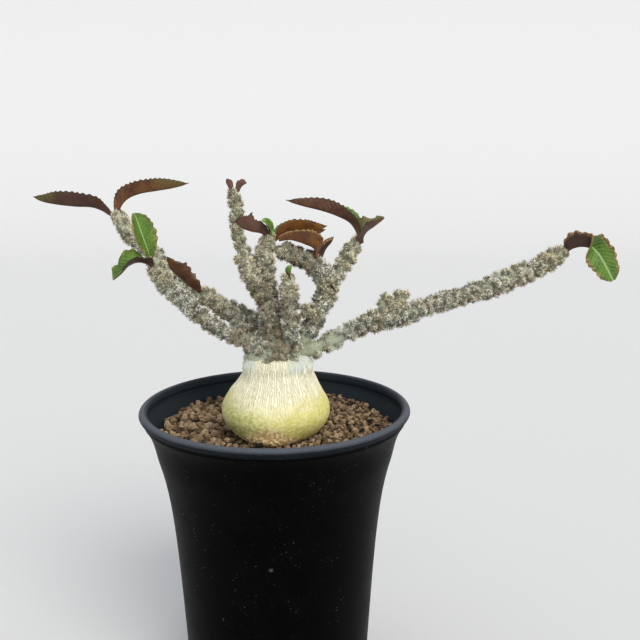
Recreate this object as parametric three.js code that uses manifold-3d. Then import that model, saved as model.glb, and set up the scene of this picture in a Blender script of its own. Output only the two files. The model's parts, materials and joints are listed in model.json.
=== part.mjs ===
// A potted succulent: a flared plastic pot filled with baked clay grains, a swollen bulb standing
// in them, and knobbly branches that end in folded, scalloped leaves.
// Lengths are in millimetres and +Z is up. The origin is the centre of the pot's underside.

import * as THREE from 'three';
import { mergeVertices } from 'three/addons/utils/BufferGeometryUtils.js';
import Module from 'manifold-3d';

const wasm = await Module();
wasm.setup();

// Driving dimensions
const potHeight = 100;
const rimRadius = 45; // outer radius of the rounded lip
const rimHeight = 3;
const rimWidth = 3;
const rimOverhang = 0.9; // how far the lip stands out past the wall below it
const rimSlope = 0.6;
const lipSteps = 4; // facets over the lip's rounded top
const wall = 1.6; // thickness of the pot's wall
const footRadius = 30.4; // outer radius where the wall meets the ground
const footBevel = 1.4;
const wallSlope = 0.06; // steady widening of the wall, per millimetre of height
const flare = 12.6; // extra radius of the trumpet mouth, fading downwards
const flareFade = 13.6;
const floorHeight = 3.6; // top of the pot's floor
const floorCorner = 1.4; // bevel inside, where the wall meets the floor
const floorRecess = 1.6; // how far the underside is sunk between its pad and its foot ring
const padRadius = 9;
const ringInner = 22; // foot ring that the pot stands on
const ringOuter = 29.2;
const drainHoles = 6;
const drainRadius = 1.9;
const drainCircle = 15.5;
const drainSides = 8;
const roundSides = 36; // facets round the pot and the soil
const soilLevel = 90; // bottom of the hollows between the soil's grains
const grainRise = 2.4; // top of a grain over the hollows round it
const grainPitch = 6.4;
const grainShift = 1.8; // how far grains and their corners stray from the honeycomb, at most twice
const grainTilt = 1;
const grainBrow = 0.3; // share of a grain's slope that its flatter crown takes
const grainCrown = 0.5;
const plantX = 0.7; // axis of the bulb
const plantY = -10;
const bulbSides = 30;
const bulbWander = 0.012; // slow unevenness of the bulb's radius, as a share of it
const shoulderSpread = 0.12; // how far round a shoulder reaches: it fades over this rise of 1 - cos
const shoulderHeight = 2.6;
const gap = 0.35; // clearance between neighbouring pieces
const ringStep = 1.9; // spacing of the rings along a branch
const crownStep = 2;
const crownSides = 20;
const crownSeed = 3;
const branchSeed = 20; // seed of the first branch's knobs
const seedStep = 5; // from one branch's seed to the next
const knobHeight = 1.2; // height of a knob over the hollow beside it
const crownKnob = 1.4;
const knobOut = 0.45; // share of that height which stands out of the branch's own radius
const knobSpread = 0.8; // how much knobs differ, as a share of their height
const tipLength = 1.2; // a branch rounds off over this many radii at its tip
const bladeThickness = 0.75;
const foldAngle = 58; // how steeply a leaf's two wings stand up from its rib, in degrees
const turnFrom = 0.15; // part of a leaf's length over which it turns to its second direction
const turnTo = 0.85;
const wingCurl = 1.2; // above 1, the wings curve up towards their edges
const toothCut = 0.16; // depth of the scallops in a leaf's edge, as a share of its half width
const bladeWave = 0.06; // swing of the edge out of the blade, as a share of its half width
const waveTurns = 9; // radians that the wave runs through along a leaf
const waveShift = 2; // radians between the waves of its two edges
const sharpestCorner = 0.55; // limits how far the face of a blade moves out at a sharp fold

// A repeatable random source
function seededRandom(seed) {
  let state = seed;
  return () => {
    state = (state * 1664525 + 1013904223) % 4294967296;
    return state / 4294967296;
  };
}

// Closed mesh with shared vertices and no collapsed triangles
function weld(geometry) {
  const bare = geometry.clone();
  bare.deleteAttribute('normal');
  bare.deleteAttribute('uv');
  const merged = mergeVertices(bare, 1e-4);
  const from = merged.index.array;
  const kept = [];
  for (let i = 0; i < from.length; i += 3) {
    const [a, b, c] = [from[i], from[i + 1], from[i + 2]];
    if (a !== b && b !== c && c !== a) kept.push(a, b, c);
  }
  merged.setIndex(kept);
  return merged;
}

function toSolid(geometry) {
  const closed = weld(geometry);
  return new wasm.Manifold(new wasm.Mesh({
    numProp: 3,
    vertProperties: new Float32Array(closed.attributes.position.array),
    triVerts: new Uint32Array(closed.index.array),
  }));
}

// The largest body of a solid: a cut can leave loose scraps, which are dropped
function largestBody(solid) {
  const bodies = solid.decompose();
  return bodies.reduce((best, body) => (body.volume() > best.volume() ? body : best));
}

function toGeometry(solid) {
  const mesh = solid.getMesh();
  const geometry = new THREE.BufferGeometry();
  geometry.setAttribute('position', new THREE.BufferAttribute(mesh.vertProperties, 3));
  geometry.setIndex(new THREE.BufferAttribute(mesh.triVerts, 1));
  geometry.computeVertexNormals();
  return geometry;
}

// Joins many solids in pairs, so that no join has to carry the whole pile
function joinAll(solids) {
  let pile = solids;
  while (pile.length > 1) {
    const next = [];
    for (let i = 0; i < pile.length; i += 2) {
      next.push(i + 1 < pile.length ? pile[i].add(pile[i + 1]) : pile[i]);
    }
    pile = next;
  }
  return pile[0];
}

function latheSolid(profile) {
  const points = profile.map(([r, z]) => new THREE.Vector2(r, z));
  const geometry = new THREE.LatheGeometry(points, roundSides);
  geometry.rotateX(Math.PI / 2);
  return toSolid(geometry);
}

// Skins a list of equal rings, closed by a point at each end
function skinRings(rings, startPoint, endPoint) {
  const sides = rings[0].length;
  const points = [...rings.flat(), startPoint, endPoint];
  const start = points.length - 2;
  const end = points.length - 1;
  const last = (rings.length - 1) * sides;
  const faces = [];
  for (let j = 0; j < sides; j += 1) {
    const k = (j + 1) % sides;
    faces.push(start, k, j);
    faces.push(end, last + j, last + k);
    for (let i = 0; i + 1 < rings.length; i += 1) {
      const a = i * sides + j;
      const b = i * sides + k;
      const c = a + sides;
      const d = b + sides;
      // The shared edge joins the two hollows, so that each knob is a pyramid
      if ((i + j) % 2 === 0) faces.push(a, b, c, b, d, c);
      else faces.push(a, b, d, a, d, c);
    }
  }
  const geometry = new THREE.BufferGeometry();
  geometry.setAttribute('position', new THREE.Float32BufferAttribute(points.flatMap((p) => p.toArray()), 3));
  geometry.setIndex(faces);
  return geometry;
}

// Pot: a trumpet-shaped wall under a rounded lip

function potRadius(z) {
  const depth = potHeight - z;
  return footRadius + wallSlope * z + flare * Math.exp(-depth / flareFade);
}

const wallHeights = [30, 60, 75, 83.5, 89.5, 94];

function innerProfile(clearance) {
  const inside = wallHeights.map((z) => [potRadius(z) - wall - clearance, z]);
  return [[footRadius - wall - clearance, floorHeight + clearance + floorCorner], ...inside];
}

function pot() {
  const lip = [];
  for (let i = 0; i <= lipSteps; i += 1) {
    const angle = (i / lipSteps) * Math.PI;
    lip.push([
      rimRadius - rimWidth / 2 + (rimWidth / 2) * Math.cos(angle),
      potHeight - rimWidth / 2 + (rimWidth / 2) * Math.sin(angle),
    ]);
  }
  const body = latheSolid([
    [0, 0],
    [padRadius, 0],
    [padRadius, floorRecess],
    [ringInner, floorRecess],
    [ringInner, 0],
    [ringOuter, 0],
    [footRadius, footBevel],
    ...wallHeights.map((z) => [potRadius(z), z]),
    [rimRadius - rimOverhang, potHeight - rimHeight - rimSlope],
    [rimRadius, potHeight - rimHeight],
    ...lip,
    ...innerProfile(0).reverse(),
    [footRadius - wall - floorCorner, floorHeight],
    [0, floorHeight],
  ]);
  const drains = [];
  for (let i = 0; i < drainHoles; i += 1) {
    const angle = (i / drainHoles) * 2 * Math.PI;
    const drill = new THREE.CylinderGeometry(drainRadius, drainRadius, 2 * floorHeight, drainSides);
    drill.rotateX(Math.PI / 2);
    drill.translate(drainCircle * Math.cos(angle), drainCircle * Math.sin(angle), floorHeight / 2);
    drains.push(toSolid(drill));
  }
  return body.subtract(joinAll(drains));
}

// Bulb: swollen stem base with a flat underside, a root in the soil and lumpy shoulders

const bulbProfile = [ // height and radius
  [78, 3.2], [84, 6.4], [91.2, 8.2], [93, 10.8], [95, 13.7], [97.6, 16.2], [100.8, 17.5],
  [104, 17.2], [107.4, 15.3], [110.8, 13], [114.2, 11], [117.4, 9.9], [119.4, 8.6],
];
const bulbRoot = 76.8;
const bulbTop = 120.6;
const shoulders = [ // direction in degrees, height, rise
  [195, 116, 0.9], [338, 116.6, 1.3], [85, 115.4, 1], [140, 113, 0.7], [262, 118, 0.5],
];

function bulb(grow) {
  const rings = bulbProfile.map(([z, radius]) => {
    const ring = [];
    for (let j = 0; j < bulbSides; j += 1) {
      const angle = (j / bulbSides) * 2 * Math.PI;
      let r = radius * (1 + bulbWander * (Math.sin(3 * angle + 1) + 0.7 * Math.sin(5 * angle + z / 6)));
      for (const [towards, height, rise] of shoulders) {
        const turn = Math.cos(angle - THREE.MathUtils.degToRad(towards));
        r += rise * Math.exp(-((1 - turn) / shoulderSpread) - ((z - height) / shoulderHeight) ** 2);
      }
      r += grow;
      ring.push(new THREE.Vector3(plantX + r * Math.cos(angle), plantY + r * Math.sin(angle), z));
    }
    return ring;
  });
  const root = new THREE.Vector3(plantX, plantY, bulbRoot - grow);
  const top = new THREE.Vector3(plantX, plantY, bulbTop + grow);
  return toSolid(skinRings(rings, root, top));
}

// Soil: fills the pot. Its top is a bed of angular clay grains, one to each cell of a jostled
// honeycomb, cut plainly round the bulb's root.

function grainBed() {
  const random = seededRandom(11);
  const places = new Map();
  const jostled = (x, y, z) => {
    const key = `${Math.round(100 * x)},${Math.round(100 * y)}`;
    if (!places.has(key)) {
      const [dx, dy, dz] = [random() - 0.5, random() - 0.5, random() - 0.5];
      places.set(key, new THREE.Vector3(x + grainShift * dx, y + grainShift * dy, z + grainTilt * dz));
    }
    return places.get(key);
  };
  const ground = (p) => new THREE.Vector3(p.x, p.y, 0);
  const cellRadius = grainPitch / Math.sqrt(3);
  const reach = Math.ceil(rimRadius / grainPitch) + 1;
  const walls = new Map();
  const triangles = [];
  for (let column = -2 * reach; column <= 2 * reach; column += 1) {
    for (let row = -reach; row <= reach; row += 1) {
      const x = grainPitch * (column + row / 2);
      const y = grainPitch * row * Math.sqrt(0.75);
      if (Math.hypot(x, y) > rimRadius + grainPitch) continue;
      const top = jostled(x, y, soilLevel + grainRise);
      const foot = [];
      for (let k = 0; k < 6; k += 1) {
        const angle = ((k + 0.5) * Math.PI) / 3;
        foot.push(jostled(x + cellRadius * Math.cos(angle), y + cellRadius * Math.sin(angle), soilLevel));
      }
      const brow = foot.map((p) => {
        const point = p.clone().lerp(top, grainBrow);
        point.z = top.z - grainCrown;
        return point;
      });
      foot.forEach((a, k) => {
        const next = (k + 1) % 6;
        const b = foot[next];
        triangles.push(top, brow[k], brow[next], brow[k], a, b, brow[k], b, brow[next]);
        triangles.push(ground(top), ground(b), ground(a));
        const back = `${b.x},${b.y},${a.x},${a.y}`;
        if (walls.has(back)) walls.delete(back);
        else walls.set(`${a.x},${a.y},${b.x},${b.y}`, [a, b]);
      });
    }
  }
  // Only the outermost cells keep a wall
  for (const [a, b] of walls.values()) triangles.push(a, ground(a), ground(b), a, ground(b), b);
  const geometry = new THREE.BufferGeometry();
  const positions = new THREE.Float32BufferAttribute(triangles.flatMap((p) => p.toArray()), 3);
  geometry.setAttribute('position', positions);
  return toSolid(geometry);
}

function soil() {
  const inside = innerProfile(gap);
  const [edge] = inside[inside.length - 1];
  const filling = latheSolid([
    [0, floorHeight + gap],
    [footRadius - wall - gap - floorCorner, floorHeight + gap],
    ...inside,
    [edge, potHeight],
    [0, potHeight],
  ]);
  return largestBody(filling.intersect(grainBed()).subtract(bulb(gap)));
}

// Branch: a tube along its route, x, y, z and radius at each point, studded with staggered knobs

function knobbyTube(route, sides, knob, seed, grow, step = ringStep) {
  const random = seededRandom(seed);
  const curve = new THREE.CatmullRomCurve3(route.map(([x, y, z]) => new THREE.Vector3(x, y, z)));
  const radii = new THREE.CatmullRomCurve3(route.map(([, , , r], i) => new THREE.Vector3(r, i, 0)));
  const length = curve.getLength();
  const count = Math.round(length / step);
  const frames = curve.computeFrenetFrames(count, false);
  const rings = [];
  for (let i = 0; i < count; i += 1) {
    const u = i / count;
    const centre = curve.getPointAt(u);
    const radius = radii.getPoint(curve.getUtoTmapping(u)).x;
    const left = Math.min(1, (length * (1 - u)) / (tipLength * radius)); // 0 at the tip, 1 before its dome
    const dome = Math.sqrt(1 - (1 - left) ** 2);
    const ring = [];
    for (let j = 0; j < sides; j += 1) {
      const angle = (j / sides) * 2 * Math.PI;
      const side = (i + j) % 2 === 0 ? knobOut : knobOut - 1;
      const r = (radius + knob * (side + knobSpread * (random() - 0.5))) * dome + grow;
      const across = frames.normals[i].clone().multiplyScalar(r * Math.cos(angle));
      const along = frames.binormals[i].clone().multiplyScalar(r * Math.sin(angle));
      ring.push(centre.clone().add(across).add(along));
    }
    rings.push(ring);
  }
  const start = curve.getPointAt(0).addScaledVector(frames.tangents[0], -grow);
  const end = curve.getPointAt(1).addScaledVector(frames.tangents[count], grow);
  return toSolid(skinRings(rings, start, end));
}

const crownRoute = [
  [0.7, -10, 115, 9.2], [0.6, -9.6, 120, 9.4], [0.6, -9.2, 125, 7.8], [0.6, -9, 129.5, 5.5],
];

const branches = {
  branch_right_long: [
    { sides: 10, route: [
      [5, -10, 119.5, 2.6], [14.5, -10, 122.3, 2.6], [21.5, -10, 125.7, 2.5], [28.5, -10.5, 129.2, 2.8],
      [34.5, -10.5, 131.3, 3.2], [42, -10, 132.8, 3], [49.5, -9.5, 135.3, 2.7], [58, -9, 137.8, 2.8],
      [67, -8, 140.4, 3.1], [75.5, -6.5, 143.4, 3.2], [85.5, -5, 147.4, 3], [93.5, -4, 152, 2.8]] },
    { sides: 8, route: [[34, -10.5, 131.5, 2], [35.5, -11, 135.5, 2.1], [37, -12, 139.5, 2]] },
    { sides: 8, route: [[38, -10.5, 133, 2], [40, -10, 136.5, 2.2], [41.5, -9.5, 140.5, 2.1]] },
  ],
  branch_left_low: [
    { sides: 12, route: [
      [1, -11, 119.5, 2.6], [-7, -12, 124.5, 2.5], [-11.5, -12.5, 127, 2.4], [-16.5, -13, 130, 2.4],
      [-21, -13.5, 133, 2.6], [-25.5, -14, 137, 2.7], [-29.5, -14.5, 140.5, 2.8], [-33, -15, 144.5, 2.8],
      [-35, -15, 148.5, 2.8], [-36, -15, 152.5, 2.5]] },
  ],
  branch_arch: [
    { sides: 12, route: [
      [5, -9, 119, 2.9], [11.5, -7, 127, 2.8], [14.5, -5, 133.5, 2.9], [17.5, -3, 138.5, 3.2],
      [17, -3, 143, 3.3], [12.5, -5, 148.5, 3], [9, -7, 150.5, 2.6], [5, -8, 152.5, 2.6],
      [1.5, -9, 153.5, 2.4]] },
    { sides: 10, route: [
      [15.5, -3, 139, 2.2], [20.5, 2, 143.5, 2.4], [23.5, 4, 147.5, 2.5], [25.5, 5, 151, 2.5],
      [28, 5, 155.5, 2.3]] },
    { sides: 8, route: [[14, -5, 131, 1.8], [11.5, -8, 133, 2], [9.8, -9, 134.8, 1.9]] },
  ],
  branch_centre: [
    { sides: 14, route: [
      [1, -11, 120, 3.2], [0, -13, 130, 3.2], [-0.5, -13, 135.5, 3.3], [-1.5, -12, 140.5, 3.1],
      [-2, -11, 145.5, 3.1], [-2.5, -10, 150.5, 3.1], [-2, -10, 154, 2.6], [0, -10, 158.5, 2]] },
    { sides: 10, route: [
      [-0.5, -13, 135.5, 2.2], [-3.5, -14, 141, 2.5], [-6, -15, 146, 2.6], [-8, -15, 150, 2.5],
      [-9.5, -16, 153.5, 2.2]] },
  ],
  branch_centre_short: [
    { sides: 12, route: [
      [4.5, -12, 121, 2.4], [6, -16, 129, 2.5], [6, -17, 134, 2.6], [5.5, -17, 139, 2.7],
      [5.5, -17, 143, 2.6], [5, -17, 147, 2.2]] },
  ],
  branch_left_short: [
    { sides: 12, route: [
      [0, -8, 121, 2.5], [-7.5, -6.5, 126, 2.5], [-12, -6, 130, 2.6], [-16.5, -5.5, 133.5, 2.7],
      [-20, -5, 136.5, 2.7], [-22.5, -5, 140, 2.3]] },
  ],
  branch_left_long: [
    { sides: 10, route: [
      [-1.5, -5, 122, 2.3], [-4.5, 0, 127, 2.3], [-8.5, 3, 129, 2.4], [-14, 5, 131, 2.5],
      [-21.5, 8, 134, 2.3], [-28.5, 9, 137.5, 2.3], [-34, 9, 143, 2.3], [-39, 10, 148.5, 2.4],
      [-43, 10, 152, 2.5], [-47.5, 11, 155, 2.4], [-50, 11, 159, 2.3], [-52.5, 12, 163, 2.1]] },
  ],
  branch_back: [
    { sides: 10, route: [
      [0, -5, 121, 2.3], [-1, 2, 128, 2.2], [-4, 6, 137, 2.2], [-7, 7, 145, 2.2], [-10.5, 8, 152, 2.2],
      [-11.5, 8, 157, 2.2], [-12, 8, 162.5, 2.1], [-12.5, 8, 167, 2], [-13, 8, 171, 1.8]] },
  ],
};

function branch(stems, seed, grow) {
  const tubes = stems.map(({ sides, route }, i) => knobbyTube(route, sides, knobHeight, seed + i, grow));
  return joinAll(tubes);
}

// Leaf: a blade folded along its rib. Each rib point is x, y, z and half width; the blade opens
// towards one direction at its base and may turn to another at its tip.

function foldedLeaf(leaf, grow) {
  const { rib, teeth, opens, turnsTo = opens, fold = foldAngle, flatTo = fold, columns = 1 } = leaf;
  const line = new THREE.CatmullRomCurve3(rib.map(([x, y, z]) => new THREE.Vector3(x, y, z)));
  const widths = new THREE.CatmullRomCurve3(rib.map(([, , , w], i) => new THREE.Vector3(w, i * 3, 0)));
  const from = new THREE.Vector3(...opens).normalize();
  const to = new THREE.Vector3(...turnsTo).normalize();
  const rows = 2 * teeth;
  const grid = [];
  for (let i = 0; i <= rows; i += 1) {
    const t = i / rows;
    const centre = line.getPoint(t);
    const along = line.getTangent(t);
    const mix = THREE.MathUtils.smoothstep(t, turnFrom, turnTo);
    const up = from.clone().lerp(to, mix);
    up.addScaledVector(along, -up.dot(along)).normalize();
    const side = along.clone().cross(up);
    const halfWidth = Math.max(0.4 * bladeThickness, widths.getPoint(t).x);
    // The blade lies flat where it is about as narrow as it is thick
    const open = THREE.MathUtils.smoothstep(halfWidth, bladeThickness, 4 * bladeThickness);
    const lean = open * THREE.MathUtils.degToRad(THREE.MathUtils.lerp(fold, flatTo, mix));
    const notch = i % 2 === 0 ? 1 - toothCut * open : 1;
    for (let j = -columns; j <= columns; j += 1) {
      const s = j / columns;
      const edge = Math.abs(j) === columns ? notch : 1;
      const w = halfWidth * edge + grow;
      const ripple = open * bladeWave * w * s * s * Math.sin(waveTurns * t + (s > 0 ? 0 : waveShift));
      const bend = Math.abs(s) ** wingCurl;
      grid.push(centre.clone()
        .addScaledVector(side, w * s * Math.cos(lean))
        .addScaledVector(up, w * bend * Math.sin(lean) + ripple));
    }
  }
  return toSolid(thickBlade(grid, rows, 2 * columns, bladeThickness / 2 + grow));
}

// Gives a grid of points a wall: both faces are split into triangles alike
function thickBlade(grid, rows, columns, half) {
  const wide = columns + 1;
  const count = grid.length;
  const sheet = [];
  for (let i = 0; i < rows; i += 1) {
    for (let j = 0; j < columns; j += 1) {
      const a = i * wide + j;
      sheet.push([a, a + 1, a + wide + 1], [a, a + wide + 1, a + wide]);
    }
  }
  const faceNormals = sheet.map(([a, b, c]) => {
    const normal = grid[b].clone().sub(grid[a]).cross(grid[c].clone().sub(grid[a]));
    return normal.normalize();
  });
  const normals = grid.map(() => new THREE.Vector3());
  sheet.forEach((corners, f) => corners.forEach((v) => normals[v].add(faceNormals[f])));
  normals.forEach((normal) => normal.normalize());
  const spread = grid.map(() => 1);
  sheet.forEach((corners, f) => corners.forEach((v) => {
    spread[v] = Math.min(spread[v], Math.max(sharpestCorner, normals[v].dot(faceNormals[f])));
  }));
  const front = grid.map((p, v) => p.clone().addScaledVector(normals[v], half / spread[v]));
  const back = grid.map((p, v) => p.clone().addScaledVector(normals[v], -half / spread[v]));
  const faces = [];
  for (const [a, b, c] of sheet) faces.push(a, b, c, a + count, c + count, b + count);
  const rim = [];
  for (let j = 0; j < columns; j += 1) rim.push(j);
  for (let i = 0; i < rows; i += 1) rim.push(i * wide + columns);
  for (let j = columns; j > 0; j -= 1) rim.push(rows * wide + j);
  for (let i = rows; i > 0; i -= 1) rim.push(i * wide);
  rim.forEach((a, n) => {
    const b = rim[(n + 1) % rim.length];
    faces.push(a, a + count, b + count, a, b + count, b);
  });
  const geometry = new THREE.BufferGeometry();
  const points = [...front, ...back];
  geometry.setAttribute('position', new THREE.Float32BufferAttribute(points.flatMap((p) => p.toArray()), 3));
  geometry.setIndex(faces);
  return geometry;
}

const leaves = {
  leaf_left_long_1: { teeth: 8, columns: 2, opens: [0, 0.25, 1], rib: [
    [-53.5, 12, 162, 0.6], [-57, 12, 164, 2.3], [-60, 11, 165.2, 4.2], [-65.5, 10, 165.6, 4.8],
    [-71.5, 9, 166.4, 4.2], [-75.5, 8.5, 167.3, 2.6], [-78.5, 8, 168.7, 0.3]] },
  leaf_left_long_2: { teeth: 8, columns: 2, opens: [-0.3, 0.25, 1], rib: [
    [-52.2, 12.5, 162, 0.6], [-52.2, 12.5, 165.5, 2], [-49.5, 12.5, 168, 4], [-45, 13, 169.3, 4.6],
    [-39.5, 14, 170.2, 4.3], [-34, 15, 171, 2.8], [-28.5, 16, 172.3, 0.3]] },
  leaf_left_low_green: { teeth: 7, fold: 35, opens: [0.7, -0.85, 0.1], rib: [
    [-37, -15.5, 151, 0.6], [-38, -17, 154.5, 3.2], [-39, -17.5, 158.5, 5.2], [-39.5, -17, 162.5, 4.4],
    [-41, -16, 164.5, 2.2], [-41.5, -15.5, 165.5, 0.3]] },
  leaf_left_low_curved: { teeth: 7, fold: 50, opens: [0, -0.5, 1], rib: [
    [-36, -16, 149.5, 0.6], [-38, -18, 151, 2.6], [-40, -19, 151.5, 3.6], [-43, -20, 150.5, 4.4],
    [-45.5, -20, 148, 3.4], [-48, -20, 146, 0.3]] },
  leaf_left_short: { teeth: 6, opens: [0.7, 0.3, 0.7], rib: [
    [-23, -6, 139.5, 0.6], [-26, -8, 142, 4], [-28.5, -8.5, 144.5, 4.8], [-31, -9, 146.8, 4.4],
    [-32.3, -9, 149, 3.2], [-32.8, -9, 151.2, 0.6]] },
  leaf_back_1: { teeth: 3, fold: 35, opens: [0.2, 1, 0.1], rib: [
    [-13.5, 7.5, 170, 0.5], [-14, 7.2, 172, 1.2], [-14.6, 7, 173.4, 1.2], [-15, 6.8, 174.6, 0.3]] },
  leaf_back_2: { teeth: 3, opens: [-0.3, 1, 0.4], rib: [
    [-12, 8, 169.5, 0.5], [-11, 8, 171.5, 1.8], [-10, 8, 172.5, 2], [-8.5, 8, 173.5, 0.3]] },
  leaf_centre_left: { teeth: 6, opens: [0, 0.3, 1], rib: [
    [-0.5, -10.5, 157.5, 0.5], [-3, -12, 159.4, 2.8], [-6, -13, 160.1, 4.6], [-8.8, -13.6, 161.3, 5],
    [-10.8, -14, 163.2, 2.6]] },
  leaf_centre_small: { teeth: 3, fold: 40, opens: [0.3, -1, 0.2], rib: [
    [0, -11.5, 157.5, 0.5], [0.2, -13.5, 160.4, 1.6], [0, -14.5, 162, 2], [-0.8, -15, 163.4, 0.3]] },
  leaf_centre_right: { teeth: 7, opens: [0, 0.25, 1], rib: [
    [1, -10, 156.6, 0.5], [2.8, -8.5, 158.4, 2.8], [6, -6.5, 159.2, 4], [11, -5, 159, 4],
    [14.5, -5, 159.4, 2.4], [17.5, -5, 160.4, 0.3]] },
  leaf_centre_behind: { teeth: 6, opens: [0, 0.3, 1], rib: [
    [0.3, -8.6, 156, 0.5], [3.5, -4, 157.6, 2.6], [8.5, -1, 157.4, 3.2], [13.5, 0, 157.2, 2.8],
    [17, 0, 158.6, 0.3]] },
  leaf_arch: { teeth: 6, opens: [0, 0.2, 1], rib: [
    [13.4, -7.5, 150, 0.6], [13.7, -9, 153.6, 3.6], [12, -10, 155.2, 5.6], [8.5, -11, 156.4, 4.6],
    [5.5, -12, 157.2, 2.6], [2.5, -12.5, 156.8, 0.3]] },
  leaf_arch_spear: { teeth: 3, fold: 72, opens: [-0.8, -0.2, 0.6], rib: [
    [14.8, -4.5, 149, 0.5], [16.5, -5, 153, 1.6], [18.2, -5.5, 155, 1.7], [19.5, -6, 157, 0.3]] },
  leaf_upper_long: { teeth: 8, columns: 2, opens: [0.2, -0.15, 1], turnsTo: [0.2, 0.3, 1], rib: [
    [27.4, 5.5, 154, 0.6], [27, 5.3, 157.4, 2.2], [24.8, 4.5, 161, 3.8], [21, 3.5, 163.2, 4.2],
    [16, 2, 165, 3.9], [10, 1, 166.4, 2.4], [4.5, 0, 168, 0.3]] },
  leaf_upper_cup: { teeth: 5, opens: [-0.4, 0.4, 1], rib: [
    [28.6, 4, 153.5, 0.6], [29.2, 3.2, 156, 3], [30.5, 3, 158, 5], [33, 3, 159.8, 2.8],
    [35.8, 3.5, 162, 0.5]] },
  leaf_centre_short: { teeth: 3, fold: 40, opens: [-0.5, -1, 0.2], rib: [
    [5.2, -17.5, 146, 0.5], [5.5, -18.6, 148, 1.5], [6, -19.2, 149.2, 1.3], [6.4, -19.6, 150, 0.3]] },
  leaf_right_tip: { teeth: 8, columns: 2, fold: 50, flatTo: 12, opens: [0, -0.2, 1],
    turnsTo: [0.1, -1, 0.1], rib: [
      [93, -4.5, 151.5, 0.6], [94.8, -6, 154.6, 3.2], [97.5, -7, 156, 4.6], [100.3, -8, 155.8, 4.4],
      [102.6, -9.5, 153.6, 4.9], [104.2, -10, 150.5, 4.7], [106, -10, 147, 3.6], [107.6, -9.5, 143.5, 1]] },
};

// Colours and finishes
const blackPlastic = { color: '#141518', roughness: 0.45, metalness: 0 };
const clay = { color: '#8a6b52', roughness: 0.95, metalness: 0 };
const bulbSkin = { color: '#d6d19a', roughness: 0.6, metalness: 0 };
const greyBark = { color: '#8f9080', roughness: 0.9, metalness: 0 };
const brownLeaf = { color: '#5a3226', roughness: 0.5, metalness: 0 };
const greenLeaf = { color: '#4f8a2c', roughness: 0.45, metalness: 0 };
const greenLeaves = ['leaf_left_low_green', 'leaf_centre_small', 'leaf_centre_short', 'leaf_right_tip'];

const group = new THREE.Group();

function addNode(name, solid, look) {
  const node = new THREE.Mesh(toGeometry(largestBody(solid)), new THREE.MeshStandardMaterial(look));
  node.name = name;
  group.add(node);
}

addNode('pot', pot(), blackPlastic);
addNode('soil', soil(), clay);
addNode('bulb', bulb(0), bulbSkin);
const crown = (grow) => knobbyTube(crownRoute, crownSides, crownKnob, crownSeed, grow, crownStep);
addNode('crown', crown(0).subtract(bulb(gap)), greyBark);

// Each branch is cut clear of the bulb, the crown and the branches made before it
let taken = bulb(gap).add(crown(gap));
Object.entries(branches).forEach(([name, stems], i) => {
  addNode(name, branch(stems, branchSeed + seedStep * i, 0).subtract(taken), greyBark);
  taken = taken.add(branch(stems, branchSeed + seedStep * i, gap));
});
Object.entries(leaves).forEach(([name, leaf]) => {
  addNode(name, foldedLeaf(leaf, 0).subtract(taken), greenLeaves.includes(name) ? greenLeaf : brownLeaf);
  taken = taken.add(foldedLeaf(leaf, gap));
});

export default group;
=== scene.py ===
import json
import math
import random

import bpy
import numpy as np
from mathutils import Matrix, Vector
from mathutils.kdtree import KDTree

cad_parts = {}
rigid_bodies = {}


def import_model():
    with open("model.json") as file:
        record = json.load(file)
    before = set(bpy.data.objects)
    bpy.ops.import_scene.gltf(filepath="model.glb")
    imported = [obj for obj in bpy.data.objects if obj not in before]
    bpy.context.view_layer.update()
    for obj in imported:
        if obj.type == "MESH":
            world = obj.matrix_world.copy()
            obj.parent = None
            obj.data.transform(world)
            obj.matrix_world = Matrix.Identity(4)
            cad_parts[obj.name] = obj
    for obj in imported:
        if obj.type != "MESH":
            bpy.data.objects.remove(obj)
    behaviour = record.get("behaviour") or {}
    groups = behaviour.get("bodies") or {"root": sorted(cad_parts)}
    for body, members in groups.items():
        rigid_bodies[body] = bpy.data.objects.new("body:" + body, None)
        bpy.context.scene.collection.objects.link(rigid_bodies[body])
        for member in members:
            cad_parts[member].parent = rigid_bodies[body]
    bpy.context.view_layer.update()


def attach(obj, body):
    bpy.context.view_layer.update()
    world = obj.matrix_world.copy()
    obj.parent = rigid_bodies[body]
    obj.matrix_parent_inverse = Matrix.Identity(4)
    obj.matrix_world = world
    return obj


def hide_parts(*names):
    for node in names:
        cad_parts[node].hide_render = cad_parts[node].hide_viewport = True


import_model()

# Routes, profiles and sizes are in millimetres; mm turns them into metres
mm = 0.001


# Node trees and shader maths

# A socket that can stand in a sum: each operator adds a Math node to its tree
class Wire:
    def __init__(self, graph, socket):
        self.graph = graph
        self.socket = socket

    def out(self, name):  # another output of the same node
        return Wire(self.graph, firstEnabled(self.socket.node.outputs, name))


for verb, operation in (("add", "ADD"), ("sub", "SUBTRACT"), ("mul", "MULTIPLY"), ("truediv", "DIVIDE"),
                        ("pow", "POWER")):
    setattr(Wire, f"__{verb}__", lambda a, b, kind=operation: a.graph.maths(kind, a, b))
    setattr(Wire, f"__r{verb}__", lambda a, b, kind=operation: a.graph.maths(kind, b, a))


def firstEnabled(sockets, name=None):
    return next(s for s in sockets if s.enabled and (name is None or s.name == name))


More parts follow.
